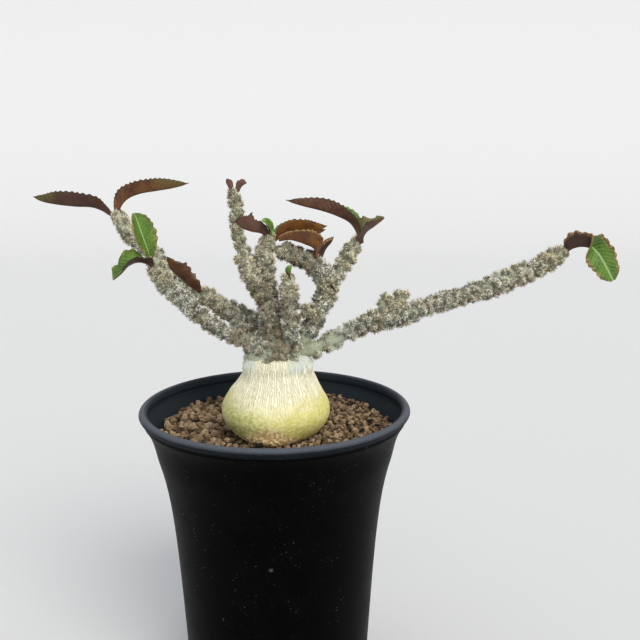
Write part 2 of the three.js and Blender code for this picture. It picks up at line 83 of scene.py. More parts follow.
class Graph:
    def __init__(self, tree):
        self.tree = tree

    # Adds a node: its settings come first, then a value or a wire for each of its inputs
    def add(self, kind, settings=None, inputs=None):
        node = self.tree.nodes.new(kind)
        for name, value in (settings or {}).items():
            if name == "stops":
                ramp = node.color_ramp
                ramp.elements.remove(ramp.elements[1])
                ramp.elements[0].position = value[0][0]
                ramp.elements[0].color = (*colour(value[0][1]), 1)
                for place, shade in value[1:]:
                    ramp.elements.new(place).color = (*colour(shade), 1)
            else:
                setattr(node, name, value)
        for name, value in (inputs or {}).items():
            socket = node.inputs[name] if isinstance(name, int) else firstEnabled(node.inputs, name)
            for each in value if isinstance(value, list) else [value]:
                self.join(each, socket)
        return Wire(self, firstEnabled(node.outputs)) if node.outputs else node

    def join(self, value, socket):
        if isinstance(value, Wire):
            self.tree.links.new(value.socket, socket)
        elif socket.type == "RGBA":
            socket.default_value = (*colour(value), 1)
        else:
            socket.default_value = value

    def maths(self, operation, a, b=0.0, c=0.0):
        return self.add("ShaderNodeMath", {"operation": operation}, {0: a, 1: b, 2: c})

    def vector(self, operation, a, b=(0, 0, 0)):
        return self.add("ShaderNodeVectorMath", {"operation": operation}, {0: a, 1: b})

    def scaled(self, vector, factor):
        return self.add("ShaderNodeVectorMath", {"operation": "SCALE"}, {0: vector, "Scale": factor})

    # 0 at one value, 1 at the other, and smooth between them
    def step(self, value, low, high):
        return self.add("ShaderNodeMapRange", {"interpolation_type": "SMOOTHSTEP"},
                        {"Value": value, "From Min": low, "From Max": high})

    def noise(self, vector, size, detail=2.0, roughness=0.5, warp=0.0):
        return self.add("ShaderNodeTexNoise", None, {
            "Vector": vector, "Scale": 1 / size, "Detail": detail, "Roughness": roughness,
            "Distortion": warp})

    def mix(self, factor, a, b):
        return self.add("ShaderNodeMix", {"data_type": "RGBA"}, {"Factor": factor, "A": a, "B": b})

    # One number of a vector: its "X", "Y" or "Z"
    def part(self, vector, axis):
        return self.add("ShaderNodeSeparateXYZ", None, {"Vector": vector}).out(axis)


# "#rrggbb" as the linear colour that nodes expect
def colour(code):
    parts = [int(code[i:i + 2], 16) / 255 for i in (1, 3, 5)]
    return [c / 12.92 if c <= 0.04045 else ((c + 0.055) / 1.055) ** 2.4 for c in parts]


class Finish(Graph):
    def __init__(self, name):
        self.material = bpy.data.materials.new(name)
        self.material.use_nodes = True
        super().__init__(self.material.node_tree)
        self.tree.nodes.clear()
        self.place = self.add("ShaderNodeTexCoord").out("Object")

    def attributes(self, *names):
        return [self.add("ShaderNodeAttribute", {"attribute_name": name}).out("Fac") for name in names]

    # Noise, distance from a spot, and cells, all in millimetres
    def cloud(self, size, *settings):
        return self.noise(self.place, size * mm, *settings)

    def apart(self, spot):
        return self.vector("DISTANCE", self.place, tuple(float(c) * mm for c in spot)).out("Value") / mm

    def cells(self, size, feature="F1"):
        return self.add("ShaderNodeTexVoronoi", {"feature": feature}, {
            "Vector": self.place, "Scale": 1 / (size * mm)})

    def surface(self, base, roughness, height=None, depth=0.0, **fixed):
        inputs = {"Base Color": base, "Roughness": roughness}
        inputs.update({name.replace("_", " "): value for name, value in fixed.items()})
        if height is not None:
            inputs["Normal"] = self.add("ShaderNodeBump", None, {"Height": height, "Distance": depth})
        shader = self.add("ShaderNodeBsdfPrincipled", None, inputs)
        self.add("ShaderNodeOutputMaterial", None, {"Surface": shader})
        return self.material


class Growth(Graph):
    def __init__(self, name, sizes):
        super().__init__(bpy.data.node_groups.new(name, "GeometryNodeTree"))
        face = self.tree.interface
        face.new_socket("Geometry", in_out="INPUT", socket_type="NodeSocketGeometry")
        face.new_socket("Geometry", in_out="OUTPUT", socket_type="NodeSocketGeometry")
        for label, kind in {**sizes, "Material": "Material"}.items():
            face.new_socket(label, in_out="INPUT", socket_type="NodeSocket" + kind)
        self.entry = self.add("NodeGroupInput")

    def size(self, label):
        return self.entry.out(label)

    def named(self, name):
        return self.add("GeometryNodeInputNamedAttribute", {"data_type": "FLOAT"}, {"Name": name})

    def store(self, geometry, name, value):
        return self.add("GeometryNodeStoreNamedAttribute", {"data_type": "FLOAT", "domain": "POINT"},
                        {"Geometry": geometry, "Name": name, "Value": value})

    def chance(self, low, high, seed):
        return self.add("FunctionNodeRandomValue", {"data_type": "FLOAT"},
                        {"Min": low, "Max": high, "Seed": seed})

    # Puts one of the shapes of a collection on each point
    def scatter(self, points, shapes, turn, size):
        shapes = self.add("GeometryNodeCollectionInfo", None, {
            "Collection": shapes, "Separate Children": True, "Reset Children": True})
        return self.add("GeometryNodeInstanceOnPoints", None, {
            "Points": points, "Instance": shapes, "Pick Instance": True, "Rotation": turn, "Scale": size})

    def finish(self, geometry):
        whole = self.add("GeometryNodeRealizeInstances", None, {"Geometry": geometry})
        dressed = self.add("GeometryNodeSetMaterial", None, {
            "Geometry": whole, "Material": self.size("Material")})
        self.add("NodeGroupOutput", None, {"Geometry": dressed})
        return self


# Pieces

# Writes one number per point
def setShare(mesh, label, values):
    mesh.attributes.new(label, "FLOAT", "POINT").data.foreach_set("value", np.asarray(values, np.float32))


def newPiece(name, points, faces=(), edges=(), **attributes):
    mesh = bpy.data.meshes.new(name)
    mesh.from_pydata([tuple(p) for p in points], list(edges), [tuple(f) for f in faces])
    for label, values in attributes.items():
        setShare(mesh, label, values)
    mesh.shade_smooth()
    piece = bpy.data.objects.new(name, mesh)
    bpy.context.scene.collection.objects.link(piece)
    return piece


# Runs a tree on a piece and keeps the result as a plain mesh
def grow(piece, growth, sizes):
    modifier = piece.modifiers.new(growth.tree.name, "NODES")
    modifier.node_group = growth.tree
    sockets = {s.name: s.identifier for s in growth.tree.interface.items_tree if s.in_out == "INPUT"}
    for label, value in sizes.items():
        modifier[sockets[label]] = value
    plainMesh(piece)


def plainMesh(piece):
    depsgraph = bpy.context.evaluated_depsgraph_get()
    mesh = bpy.data.meshes.new_from_object(piece.evaluated_get(depsgraph), preserve_all_data_layers=True,
                                           depsgraph=depsgraph)
    piece.modifiers.clear()
    piece.data = mesh


def joinPieces(piece, others):
    with bpy.context.temp_override(active_object=piece, object=piece,
                                   selected_editable_objects=[piece, *others]):
        bpy.ops.object.join()


# Puts small shapes that are only scattered into a collection of their own, until they are dropped
def shapeSet(name, pieces):
    shapes = bpy.data.collections.new(name)
    for piece in pieces:
        bpy.context.scene.collection.objects.unlink(piece)
        shapes.objects.link(piece)
    return shapes


def dropShapes(shapes):
    for piece in list(shapes.objects):
        bpy.data.objects.remove(piece)
    bpy.data.collections.remove(shapes)


def keepPiece(piece, node):
    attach(piece, "root")
    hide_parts(node)


# Smooth curve through points with uneven spacing, at values from 0 to 1
def smoothCurve(points, places):
    points = np.asarray(points, float)
    last = len(points) - 1
    padded = np.vstack([2 * points[0] - points[1], points, 2 * points[-1] - points[-2]])
    steps = np.sqrt(np.linalg.norm(np.diff(padded, axis=0), axis=1))
    result = []
    for place in np.asarray(places) * last:
        i = min(int(place), last - 1)
        w = place - i
        p0, p1, p2, p3 = padded[i:i + 4]
        d0, d1, d2 = steps[i:i + 3]
        t1 = ((p1 - p0) / d0 - (p2 - p0) / (d0 + d1) + (p2 - p1) / d1) * d1
        t2 = ((p2 - p1) / d1 - (p3 - p1) / (d1 + d2) + (p3 - p2) / d2) * d1
        result.append(p1 + t1 * w + (3 * (p2 - p1) - 2 * t1 - t2) * w ** 2
                      + (2 * (p1 - p2) + t1 + t2) * w ** 3)
    return np.array(result)


def unit(vectors):
    return vectors / np.linalg.norm(vectors, axis=-1, keepdims=True)


# The same for single numbers, with the spacing told
def smoothNumbers(numbers, spacing, places):
    flat = np.column_stack([numbers, spacing * np.arange(len(numbers)), np.zeros(len(numbers))])
    return smoothCurve(flat, places)[:, 0]


# Length along a line up to each of its points
def lengthsAlong(points):
    return np.concatenate([[0], np.cumsum(np.linalg.norm(np.diff(points, axis=0), axis=1))])


def smoothStep(value, low, high):
    share = np.clip((np.asarray(value, float) - low) / (high - low), 0, 1)
    return share * share * (3 - 2 * share)


# Grid of points, rows by columns, as a closed skin round its columns
def ringFaces(rows, sides, closed=True):
    faces = []
    for i in range(rows - 1):
        for j in range(sides if closed else sides - 1):
            k = (j + 1) % sides
            faces.append((i * sides + j, i * sides + k, (i + 1) * sides + k, (i + 1) * sides + j))
    return faces


# The same for rings that two last points close below and above
def cappedFaces(rows, sides):
    faces = ringFaces(rows, sides)
    for j in range(sides):
        k = (j + 1) % sides
        faces.append((rows * sides, k, j))
        faces.append((rows * sides + 1, (rows - 1) * sides + j, (rows - 1) * sides + k))
    return faces


# Camera and stage

view = {"place": (15.1, -320.0, 199.3), "pitch": 12.43, "roll": -0.2, "lens": 56.25, "sensor": 36}

stage = {"floor": "#d3d4d5", "wallDistance": 1.6, "wallHeight": 2.4, "wallRound": 0.7, "halfWidth": 3.0}

lights = {
    "key": {"from": (0.42, -0.85, 0.85), "strength": 2.0, "angle": 34, "tint": "#fffaf2"},
    "world": {"tint": "#f2f5f9", "strength": 0.8},
}


def makeCamera():
    lens = bpy.data.cameras.new("photo_view")
    lens.lens = view["lens"]
    lens.sensor_width = view["sensor"]
    camera = bpy.data.objects.new("photo_view", lens)
    camera.matrix_world = (Matrix.Translation(Vector(view["place"]) * mm)
                           @ Matrix.Rotation(math.radians(90 - view["pitch"]), 4, "X")
                           @ Matrix.Rotation(math.radians(view["roll"]), 4, "Z"))
    bpy.context.scene.collection.objects.link(camera)
    bpy.context.scene.camera = camera


def makeStage():
    turn = np.linspace(0, math.pi / 2, 24)
    wall, r = stage["wallDistance"], stage["wallRound"]
    profile = [(-wall - 1, 0)] + [(wall - r + r * math.sin(a), r - r * math.cos(a)) for a in turn]
    profile.append((wall, stage["wallHeight"]))
    points = [(x, y, z) for y, z in profile for x in (-stage["halfWidth"], stage["halfWidth"])]
    floor = newPiece("studio_floor", points, ringFaces(len(profile), 2, closed=False))
    paper = Finish("studioPaper")
    floor.data.materials.append(paper.surface(stage["floor"], 0.9))


def makeLights():
    key = lights["key"]
    lamp = bpy.data.lights.new("key", "SUN")
    lamp.energy = key["strength"]
    lamp.angle = math.radians(key["angle"])
    lamp.color = colour(key["tint"])
    holder = bpy.data.objects.new("key", lamp)
    holder.rotation_euler = Vector(key["from"]).to_track_quat("Z", "Y").to_euler()
    bpy.context.scene.collection.objects.link(holder)
    world = bpy.data.worlds.new("sky")
    world.use_nodes = True
    background = world.node_tree.nodes["Background"]
    background.inputs["Color"].default_value = (*colour(lights["world"]["tint"]), 1)
    background.inputs["Strength"].default_value = lights["world"]["strength"]
    bpy.context.scene.world = world
    bpy.context.scene.view_settings.view_transform = "Standard"


makeCamera()
makeStage()
makeLights()
print("camera, stage and lights are set")


# Pot

pot = {
    "height": 100, "rimRadius": 45, "rimHeight": 2.6, "rimWidth": 3, "wall": 1.6, "footRadius": 30.4,
    "slope": 0.06, "flare": 12.6, "fade": 13.6, "floor": 3.6, "recess": 1.6, "pad": 9, "footRise": 1.4,
    "ringInner": 22, "ringOuter": 29.2, "sides": 160, "bevel": 0.35,
    # the wall is drawn in between these heights, by "narrow", and is thinner from "thinFrom" up
    "collar": (82, 96), "narrow": 1.9, "thinFrom": 87, "thinner": 0.9,
    # points under the lip, inwards from the rim and down from the lip's lower edge
    "underLip": [(1.45, 0.3), (1.0, 0.1), (0.35, -0.35)],
    "drains": 6, "drainRadius": 1.9, "drainCircle": 15.5, "drillSides": 24, "drillPast": 2,
    "scuff": (-0.3, -34.4, 57),
}


def potRadius(z):
    flare = pot["flare"] * np.exp((z - pot["height"]) / pot["fade"])
    return pot["footRadius"] + pot["slope"] * z + flare - pot["narrow"] * smoothStep(z, *pot["collar"])


# Closed profile turned round the upright axis, with radius and height in millimetres
def turned(name, profile, sides, centre=(0, 0)):
    profile = np.asarray(profile, float)
    angles = np.arange(sides) / sides * 2 * math.pi
    points = [(centre[0] + r * math.cos(a), centre[1] + r * math.sin(a), z)
              for r, z in profile[1:-1] for a in angles]
    points += [(*centre, profile[0][1]), (*centre, profile[-1][1])]
    return newPiece(name, np.array(points) * mm, cappedFaces(len(profile) - 2, sides))


# Rounds each sharp corner of a profile with a short arc of points
def eased(profile, radius):
    result = [profile[0]]
    for before, corner, after in zip(profile, profile[1:], profile[2:]):
        before, corner, after = (np.array(p, float) for p in (before, corner, after))
        toBefore, toAfter = before - corner, after - corner
        if toBefore @ toAfter < -0.96 * np.linalg.norm(toBefore) * np.linalg.norm(toAfter):
            result.append(tuple(corner))
            continue
        reach = min(radius, 0.4 * np.linalg.norm(toBefore), 0.4 * np.linalg.norm(toAfter))
        start = corner + toBefore / np.linalg.norm(toBefore) * reach
        end = corner + toAfter / np.linalg.norm(toAfter) * reach
        for t in (0, 0.5, 1):
            result.append(tuple((1 - t) ** 2 * start + 2 * t * (1 - t) * corner + t * t * end))
    return result + [profile[-1]]


def potPlastic():
    shader = Finish("blackPlastic")
    mix, step = shader.mix, shader.step
    specks = shader.cells(1.1)
    patchy = shader.cloud(9, 3)
    sizes = 0.06 + 0.1 * step(patchy, 0.45, 0.7)
    dust = 1 - step(specks / sizes, 0.5, 1.0)
    dust = dust * step(shader.cloud(2.3, 1), 0.41, 0.57)
    streaks = shader.noise(shader.vector("MULTIPLY", shader.place, (1, 1, 0.08)), 1.2 * mm, 3)
    haze = step(patchy, 0.35, 0.8) * 0.5 + step(streaks, 0.55, 0.8) * 0.5
    height = shader.part(shader.place, "Z") / mm
    flat = shader.vector("MULTIPLY", shader.place, (1, 1, 0))
    inwards = pot["rimRadius"] - shader.vector("LENGTH", flat).out("Value") / mm
    # the lip's top and outside, which are painted with a highlight below
    lip = step(inwards, 2.9, 2.2) * step(height, 96.4, 97.0)
    grain = shader.cloud(0.4, 3, 0.65)
    base = mix(haze * 0.4, "#010101", "#101011")
    base = mix(step(grain, 0.55, 0.8) * 0.3, base, "#242425")
    normal = shader.add("ShaderNodeNewGeometry").out("Normal")
    inside = step(shader.vector("DOT_PRODUCT", normal, flat).out("Value"), 0.0, -0.01)
    upward = shader.part(normal, "Z")
    # painted reflection and shade: the inner wall is painted blue-grey, and darker where it faces up, to
    # even out the light on it
    base = mix(inside, base, mix(step(upward, -0.02, 0.2), "#363e44", "#272e33"))
    # painted highlight: the lip is painted blue-grey, light where it faces up and out and dark where it
    # faces down or in, as a reflection of the sky
    upward = upward - 0.6 * inside + (patchy - 0.5) * 0.5
    lipPaintedSheen = mix(step(upward, -0.2, 0.9), "#121518", "#575c64")
    base = mix(lip, base, mix(step(grain, 0.6, 0.35) * 0.35, lipPaintedSheen, "#343a42"))
    base = mix(dust * 0.75, base, "#86827b")
    scuff = shader.apart(pot["scuff"]) + (grain - 0.5) * 2
    base = mix(step(scuff, 0.9, 0.2) * 0.3, base, "#7d7d7c")
    return shader.surface(base, 0.42 + 0.14 * haze + 0.3 * dust, grain + dust * 2, 0.02 * mm,
                          Specular_IOR_Level=0.03)


def makePot():
    lip = [(pot["rimRadius"] - pot["rimWidth"] / 2 * (1 - math.cos(a)),
            pot["height"] - pot["rimWidth"] / 2 * (1 - math.sin(a))) for a in np.linspace(0, math.pi, 13)]
    heights = np.concatenate([np.linspace(12, 80, 18), np.linspace(*pot["collar"], 12)])
    outside = [(potRadius(z), z) for z in heights]
    thinned = pot["wall"] - pot["thinner"] * smoothStep(heights, pot["thinFrom"], pot["collar"][1])
    inside = [(potRadius(z) - wall, z) for z, wall in zip(heights[::-1], thinned[::-1])]
    foot, rise, edge = pot["footRadius"], pot["footRise"], pot["height"] - pot["rimHeight"]
    profile = [
        (0, 0), (pot["pad"], 0), (pot["pad"], pot["recess"]), (pot["ringInner"], pot["recess"]),
        (pot["ringInner"], 0), (pot["ringOuter"], 0), (foot, rise), *outside,
        *[(pot["rimRadius"] - inwards, edge - down) for inwards, down in pot["underLip"]], *lip, *inside,
        (foot - pot["wall"], pot["floor"] + rise), (foot - pot["wall"] - rise, pot["floor"]),
        (0, pot["floor"]),
    ]
    piece = turned("flared_pot", eased(profile, pot["bevel"]), pot["sides"])
    for i in range(pot["drains"]):
        a = i / pot["drains"] * 2 * math.pi
        low, high = -pot["drillPast"], pot["floor"] + pot["drillPast"]
        sides = [(0, low), (pot["drainRadius"], low), (pot["drainRadius"], high), (0, high)]
        drill = turned(f"drill_{i}", sides, pot["drillSides"],
                       (pot["drainCircle"] * math.cos(a), pot["drainCircle"] * math.sin(a)))
        cut = piece.modifiers.new("drain", "BOOLEAN")
        cut.operation = "DIFFERENCE"
        cut.solver = "EXACT"
        cut.object = drill
    plainMesh(piece)
    for drill in [o for o in bpy.data.objects if o.name.startswith("drill_")]:
        bpy.data.objects.remove(drill)
    piece.data.materials.clear()
    piece.data.materials.append(potPlastic())
    keepPiece(piece, "pot")


makePot()
print("pot is turned")


# Bulb

bulb = {
    "axis": (0.7, -10.0), "sides": 400, "rowStep": 0.3, "buriedStep": 2.0,
    "profile": [(76.8, 0), (78, 3.2), (84, 6.4), (91.2, 8.2), (93, 10.8), (95, 13.7), (97.6, 16.2),
                (100.8, 17.5), (104, 17.2), (107.4, 15.3), (110.8, 13), (114.2, 11), (117.4, 9.9),
                (119.4, 8.6), (120.6, 0)],
    # rows are sparse below "surface" and end short of the top
    "surface": 90.5, "lastRow": 4, "topRow": 2.4, "wander": 0.012, "neck": (107, 114), "neckShift": 0.9,
    # direction in degrees, height and rise of each lump
    "lumps": [(200, 116.4, 1.3), (338, 116.6, 1.3), (85, 115.4, 1.0), (140, 113, 0.7), (262, 118, 0.5),
              (268, 94.2, 2.2), (240, 94, 0.8)],
    "lumpTurn": 0.12, "lumpHeight": 2.6,
    "wrinkles": 118, "wrinkleDepth": 0.13, "stretch": 0.2, "girth": 12.5,
}


# Winding wrinkles that run down the bulb, alike for the form of the skin and for its colour, whose troughs
# get painted shade
def wrinkleWave(graph, place):
    parts = graph.add("ShaderNodeSeparateXYZ", None, {"Vector": place})
    height = parts.out("Z")
    around = graph.vector("NORMALIZE", graph.vector("MULTIPLY", place, (1, 1, 0)))
    rise = graph.add("ShaderNodeCombineXYZ", None, {"Z": height * bulb["stretch"]})
    flat = graph.vector("ADD", graph.scaled(around, bulb["girth"] * mm), rise)
    sway = (graph.noise(flat, 1.9 * mm, 2) - 0.5) * 19 + (graph.noise(place, 1.3 * mm, 1) - 0.5) * 8
    turn = graph.maths("ARCTAN2", parts.out("Y"), parts.out("X"))
    wave = graph.maths("SINE", turn * bulb["wrinkles"] + sway)
    crest = 0.5 + 0.5 * wave + (graph.noise(flat, 0.8 * mm, 2) - 0.5) * 0.9
    fade = graph.step(height + (graph.noise(place, 5 * mm, 2) - 0.5) * 12 * mm, 101 * mm, 109 * mm)
    return crest, fade


def wrinkledSkin():
    tree = Growth("wrinkledSkin", {"Depth": "Float", "Axis": "Vector"})
    skin = tree.entry.out("Geometry")
    place = tree.vector("SUBTRACT", tree.add("GeometryNodeInputPosition"), tree.size("Axis"))
    height = tree.part(place, "Z")
    crest, above = wrinkleWave(tree, place)
    granular = tree.step(tree.noise(place, 0.9 * mm, 3, 0.6), 0.42, 0.62)
    rootPatch = 1 - tree.step(height, 94.5 * mm, 97.5 * mm)
    collar = tree.noise(place, 2.4 * mm, 2) * tree.step(height, 114.5 * mm, 118 * mm)
    rise = tree.size("Depth") * (crest * above + granular * (0.25 + 1.3 * rootPatch)) + collar * 0.9 * mm
    normal = tree.add("GeometryNodeInputNormal")
    moved = tree.add("GeometryNodeSetPosition", None, {
        "Geometry": tree.store(skin, "granular", granular),
        "Offset": tree.scaled(normal, rise - 0.12 * mm)})
    return tree.finish(moved)


def bulbFlesh():
    shader = Finish("bulbSkin")
    mix, step = shader.mix, shader.step
    height, across = shader.part(shader.place, "Z") / mm, shader.part(shader.place, "X") / mm
    axis = (bulb["axis"][0] * mm, bulb["axis"][1] * mm, 0)
    crest, fade = wrinkleWave(shader, shader.vector("SUBTRACT", shader.place, axis))
    granular, = shader.attributes("granular")
    cloud = shader.cloud(6, 4, 0.6)
    mottle = shader.cloud(1.1, 3, 0.6)
    off = shader.maths("ABSOLUTE", across)
    level = height + (cloud - 0.5) * 9 - off * 0.22
    green = mix(step(across + (cloud - 0.5) * 14, -12, 9), "#b0b964", "#d8d26e")
    belt = mix(step(mottle, 0.4, 0.7), green, "#ebe196")
    belt = mix(step(mottle, 0.42, 0.25) * 0.35, belt, "#9a9a4c")
    cream = mix(step(mottle, 0.3, 0.7), "#f1ebc9", "#fffae0")
    base = mix(step(level, 100, 109), belt, cream)
    olive = step(across + (cloud - 0.5) * 8, -6, -12) * step(height + (cloud - 0.5) * 6, 103, 98)
    base = mix(olive * 0.75, base, "#858d46")
    lemon = step(across + (cloud - 0.5) * 8, 2, 8) * step(height + (cloud - 0.5) * 4, 102, 98)
    base = mix(lemon * 0.5, base, "#cfc548")
    base = mix(step(across, -12.5, -16) * 0.55, base, "#cdbf8c")
    base = mix(granular * (1 - step(height, 100, 106)) * 0.55, base, "#fbf0b8")
    # painted shade: the wrinkles' troughs are painted darker olive-grey
    paintedTroughShade = mix(step(height, 106, 116), "#bdb389", "#a3a390")
    base = mix((1 - step(crest, 0.1, 0.65)) * fade * 0.6, base, paintedTroughShade)
    sand = mix(granular, "#bd9c62", "#ffe9ba")
    low = height + (cloud - 0.5) * 5 + shader.maths("ABSOLUTE", across + 1) * 0.5
    base = mix(1 - step(low, 98.5, 102.5), base, sand)
    bloom = step(height + (cloud - 0.5) * 5, 114.5, 118) * step(off, 3, 8)
    base = mix(bloom * 0.8, base, "#c9d3cc")
    pit = shader.cells(3.1)
    base = mix((1 - step(pit, 0.04, 0.1)) * 0.4, base, "#7d6d3a")
    fine = shader.cloud(0.28, 3, 0.6)
    return shader.surface(base, 0.5 + 0.18 * mottle, fine + granular * 0.6 + crest * fade * 1.5, 0.09 * mm,
                          Specular_IOR_Level=0.4)


def makeBulb():
    profile = np.array(bulb["profile"], float)
    dense = smoothCurve(profile, np.linspace(0, 1, 1400))
    dense[:, 0] = np.maximum.accumulate(dense[:, 0])
    along = lengthsAlong(dense)
    surface = np.interp(bulb["surface"], dense[:, 0], along)
    places = np.concatenate([np.arange(0.6, surface, bulb["buriedStep"]),
                             np.arange(surface, along[-1] - bulb["lastRow"], bulb["rowStep"]),
                             [along[-1] - bulb["topRow"]]])
    heights = np.interp(places, along, dense[:, 0])
    radii = np.interp(places, along, np.maximum(0.2, dense[:, 1]))
    angles = np.arange(bulb["sides"]) / bulb["sides"] * 2 * math.pi
    z, a = np.meshgrid(heights, angles, indexing="ij")
    r = radii[:, None] * (1 + bulb["wander"] * (np.sin(3 * a + 1) + 0.7 * np.sin(5 * a + z / 6)))
    for towards, height, rise in bulb["lumps"]:
        away = (1 - np.cos(a - math.radians(towards))) / bulb["lumpTurn"]
        r = r + rise * np.exp(-away - ((z - height) / bulb["lumpHeight"]) ** 2)
    x0, y0 = bulb["axis"]
    shift = bulb["neckShift"] * smoothStep(z, *bulb["neck"])
    points = np.stack([x0 + shift + r * np.cos(a), y0 + r * np.sin(a), z], -1).reshape(-1, 3)
    points = np.vstack([points, [x0, y0, profile[0][0]], [x0 + bulb["neckShift"], y0, profile[-1][0]]])
    piece = newPiece("swollen_bulb", points * mm, cappedFaces(*z.shape))
    grow(piece, wrinkledSkin(), {
        "Depth": bulb["wrinkleDepth"] * mm, "Axis": (x0 * mm, y0 * mm, 0), "Material": bulbFlesh()})
    keepPiece(piece, "bulb")


makeBulb()
print("bulb is swollen and wrinkled")


# Soil

soil = {
    "bed": 89.4, "bedWobble": 0.6, "radius": 41.0, "clearance": 0.35, "tries": 15000, "seed": 4,
    "smallest": 0.85, "largest": 1.7, "coarse": 0.06, "coarser": 1.35,  # a share of the grains is coarser
    "finer": 0.34, "finerFrom": (-5, 15),  # the grains get finer towards the right
    "overlap": 0.92, "press": 0.75,        # how near grains lie to each other and to the bulb, in radii
    "top": 94.3, "topWobble": 0.4, "sag": 1.6, "kinds": 12, "sides": 7, "cuts": 8, "swell": 1.15,
    "fillTop": 89.2, "fillSides": 96, "fillPaintedShade": 0.2,
    "crumb": (-3.6, -25.6, 1.4),           # a black crumb before the bulb: x, y and radius
}


# Height at which a round grain comes to lie on those already there
def restOn(laid, x, y, size, rest):
    apart = np.hypot(laid[:, 0] - x, laid[:, 1] - y)
    touch = soil["overlap"] * (laid[:, 3] + size)
    near = apart < touch
    return max([rest, *(laid[near, 2] + np.sqrt(touch[near] ** 2 - apart[near] ** 2))])


# Drops round grains one by one onto those that lie there already
def pileOfGrains():
    draw = random.Random(soil["seed"])
    x0, y0 = bulb["axis"]
    heights, radii = np.array(bulb["profile"]).T
    laid = np.zeros((0, 4))
    for _ in range(soil["tries"]):
        out = math.sqrt(draw.random()) * soil["radius"]
        angle = draw.random() * 2 * math.pi
        x, y = out * math.cos(angle), out * math.sin(angle)
        size = draw.uniform(soil["smallest"], soil["largest"])
        size *= 1 - soil["finer"] * smoothStep(x, *soil["finerFrom"])
        size *= soil["coarser"] if draw.random() < soil["coarse"] else 1
        rest = restOn(laid, x, y, size, soil["bed"] + draw.uniform(-soil["bedWobble"], soil["bedWobble"]))
        wallRadius = potRadius(rest) - pot["wall"] - soil["clearance"]
        top = soil["top"] - soil["sag"] * (abs(x) / soil["radius"]) ** 3
        if out + size > wallRadius or rest + size > top + soil["topWobble"] * draw.random():
            continue
        if math.hypot(x - x0, y - y0) < np.interp(rest, heights, radii) + soil["press"] * size:
            continue
        laid = np.vstack([laid, [x, y, rest, size]])
    x, y, size = soil["crumb"]
    return np.vstack([laid, [x, y, restOn(laid, x, y, size, soil["bed"]), size]])


# Angular pebbles: balls of a few rings with some sides cut flat
def grainShapes():
    sides, grains = soil["sides"], []
    for i in range(soil["kinds"]):
        draw = random.Random(50 + i)
        cuts = [(Vector([draw.gauss(0, 1) for _ in range(3)]).normalized(), draw.uniform(0.5, 0.82))
                for _ in range(soil["cuts"])]
        stretch = (draw.uniform(1.0, 1.45), draw.uniform(0.85, 1.15), draw.uniform(0.75, 1.0))
        points = []
        for k, z in enumerate((-0.68, 0.0, 0.68)):
            for j in range(sides):
                a = (j + 0.5 * k + draw.uniform(-0.25, 0.25)) * 2 * math.pi / sides
                out = math.sqrt(1 - z * z)
                points.append(Vector((out * math.cos(a), out * math.sin(a), z + draw.uniform(-0.15, 0.15))))
        points += [Vector((0, 0, -1)), Vector((0, 0, 1))]
        for point in points:
            for facing, depth in cuts:
                point -= facing * max(0, point.dot(facing) - depth)
        points = np.array(points) * stretch * soil["swell"]
        grains.append(newPiece(f"grain_{i}", points, cappedFaces(3, sides)))
        grains[-1].data.shade_flat()
    return shapeSet("grain_shapes", grains)


def grainBed():
    tree = Growth("grainBed", {"Grains": "Collection", "Seed": "Int"})
    points = tree.add("GeometryNodeMeshToPoints", None, {"Mesh": tree.entry.out("Geometry")})
    points = tree.store(points, "shade", tree.chance(0.0, 1.0, tree.size("Seed")))
    turn = tree.add("FunctionNodeRandomValue", {"data_type": "FLOAT_VECTOR"}, {
        "Min": (-0.5, -0.5, -3.14), "Max": (0.5, 0.5, 3.14), "Seed": tree.size("Seed") + 1})
    turn = tree.add("FunctionNodeEulerToRotation", None, {"Euler": turn})
    placed = tree.scatter(points, tree.size("Grains"), turn, tree.named("grainSize"))
    return tree.finish(placed)


def bakedClay(crumb):
    shader = Finish("bakedClay")
    mix, step = shader.mix, shader.step
    shade, = shader.attributes("shade")
    blotch = shader.cloud(1.3, 3, 0.6)
    pores = shader.cloud(0.35, 4, 0.7)
    clay = shader.add("ShaderNodeValToRGB", {"stops": [
        (0.0, "#2f261d"), (0.3, "#67563f"), (0.6, "#937a5e"), (0.85, "#b89f80"), (1.0, "#e2ccb0")]},
        {"Fac": shade * 0.7 + 0.15 + (blotch - 0.5) * 0.65})
    grey = step(shade, 0.95, 0.97)
    black = shader.maths("MAXIMUM", step(shade, 0.03, 0.02), step(shader.apart(crumb), 2.0, 1.9))
    base = mix(grey * 0.5, clay, "#7d756b")
    base = mix(black * 0.92, base, "#161211")
    base = mix((1 - step(pores, 0.3, 0.5)) * 0.6, base, "#33261c")
    return shader.surface(base, 0.85 + 0.1 * blotch, pores + blotch * 0.5, 0.25 * mm, Specular_IOR_Level=0.3)


def makeSoil():
    laid = pileOfGrains()
    clay = bakedClay(laid[-1, :3])
    piece = newPiece("clay_grains", laid[:, :3] * mm, grainSize=laid[:, 3] * mm)
    shapes = grainShapes()
    grow(piece, grainBed(), {"Grains": shapes, "Seed": soil["seed"], "Material": clay})
    dropShapes(shapes)
    base = pot["floor"] + soil["clearance"]
    inner = pot["footRadius"] - pot["wall"] - soil["clearance"]
    sides = [(potRadius(z) - pot["wall"] - soil["clearance"], z) for z in np.linspace(12, 88.5, 24)]
    rise, top = pot["footRise"], soil["fillTop"]
    filling = turned("soil_filling", [(0, base), (inner - rise, base), (inner, base + rise), *sides,
                                      (sides[-1][0] - 1, top), (0, top)], soil["fillSides"])
    filling.data.materials.append(clay)
    # painted shade: the filling under the grains gets a dark clay tone, for the gaps between them
    setShare(filling.data, "shade", np.full(len(filling.data.vertices), soil["fillPaintedShade"]))
    joinPieces(piece, [filling])
    keepPiece(piece, "soil")
    print(f"soil has {len(laid)} grains")


makeSoil()


# Stems

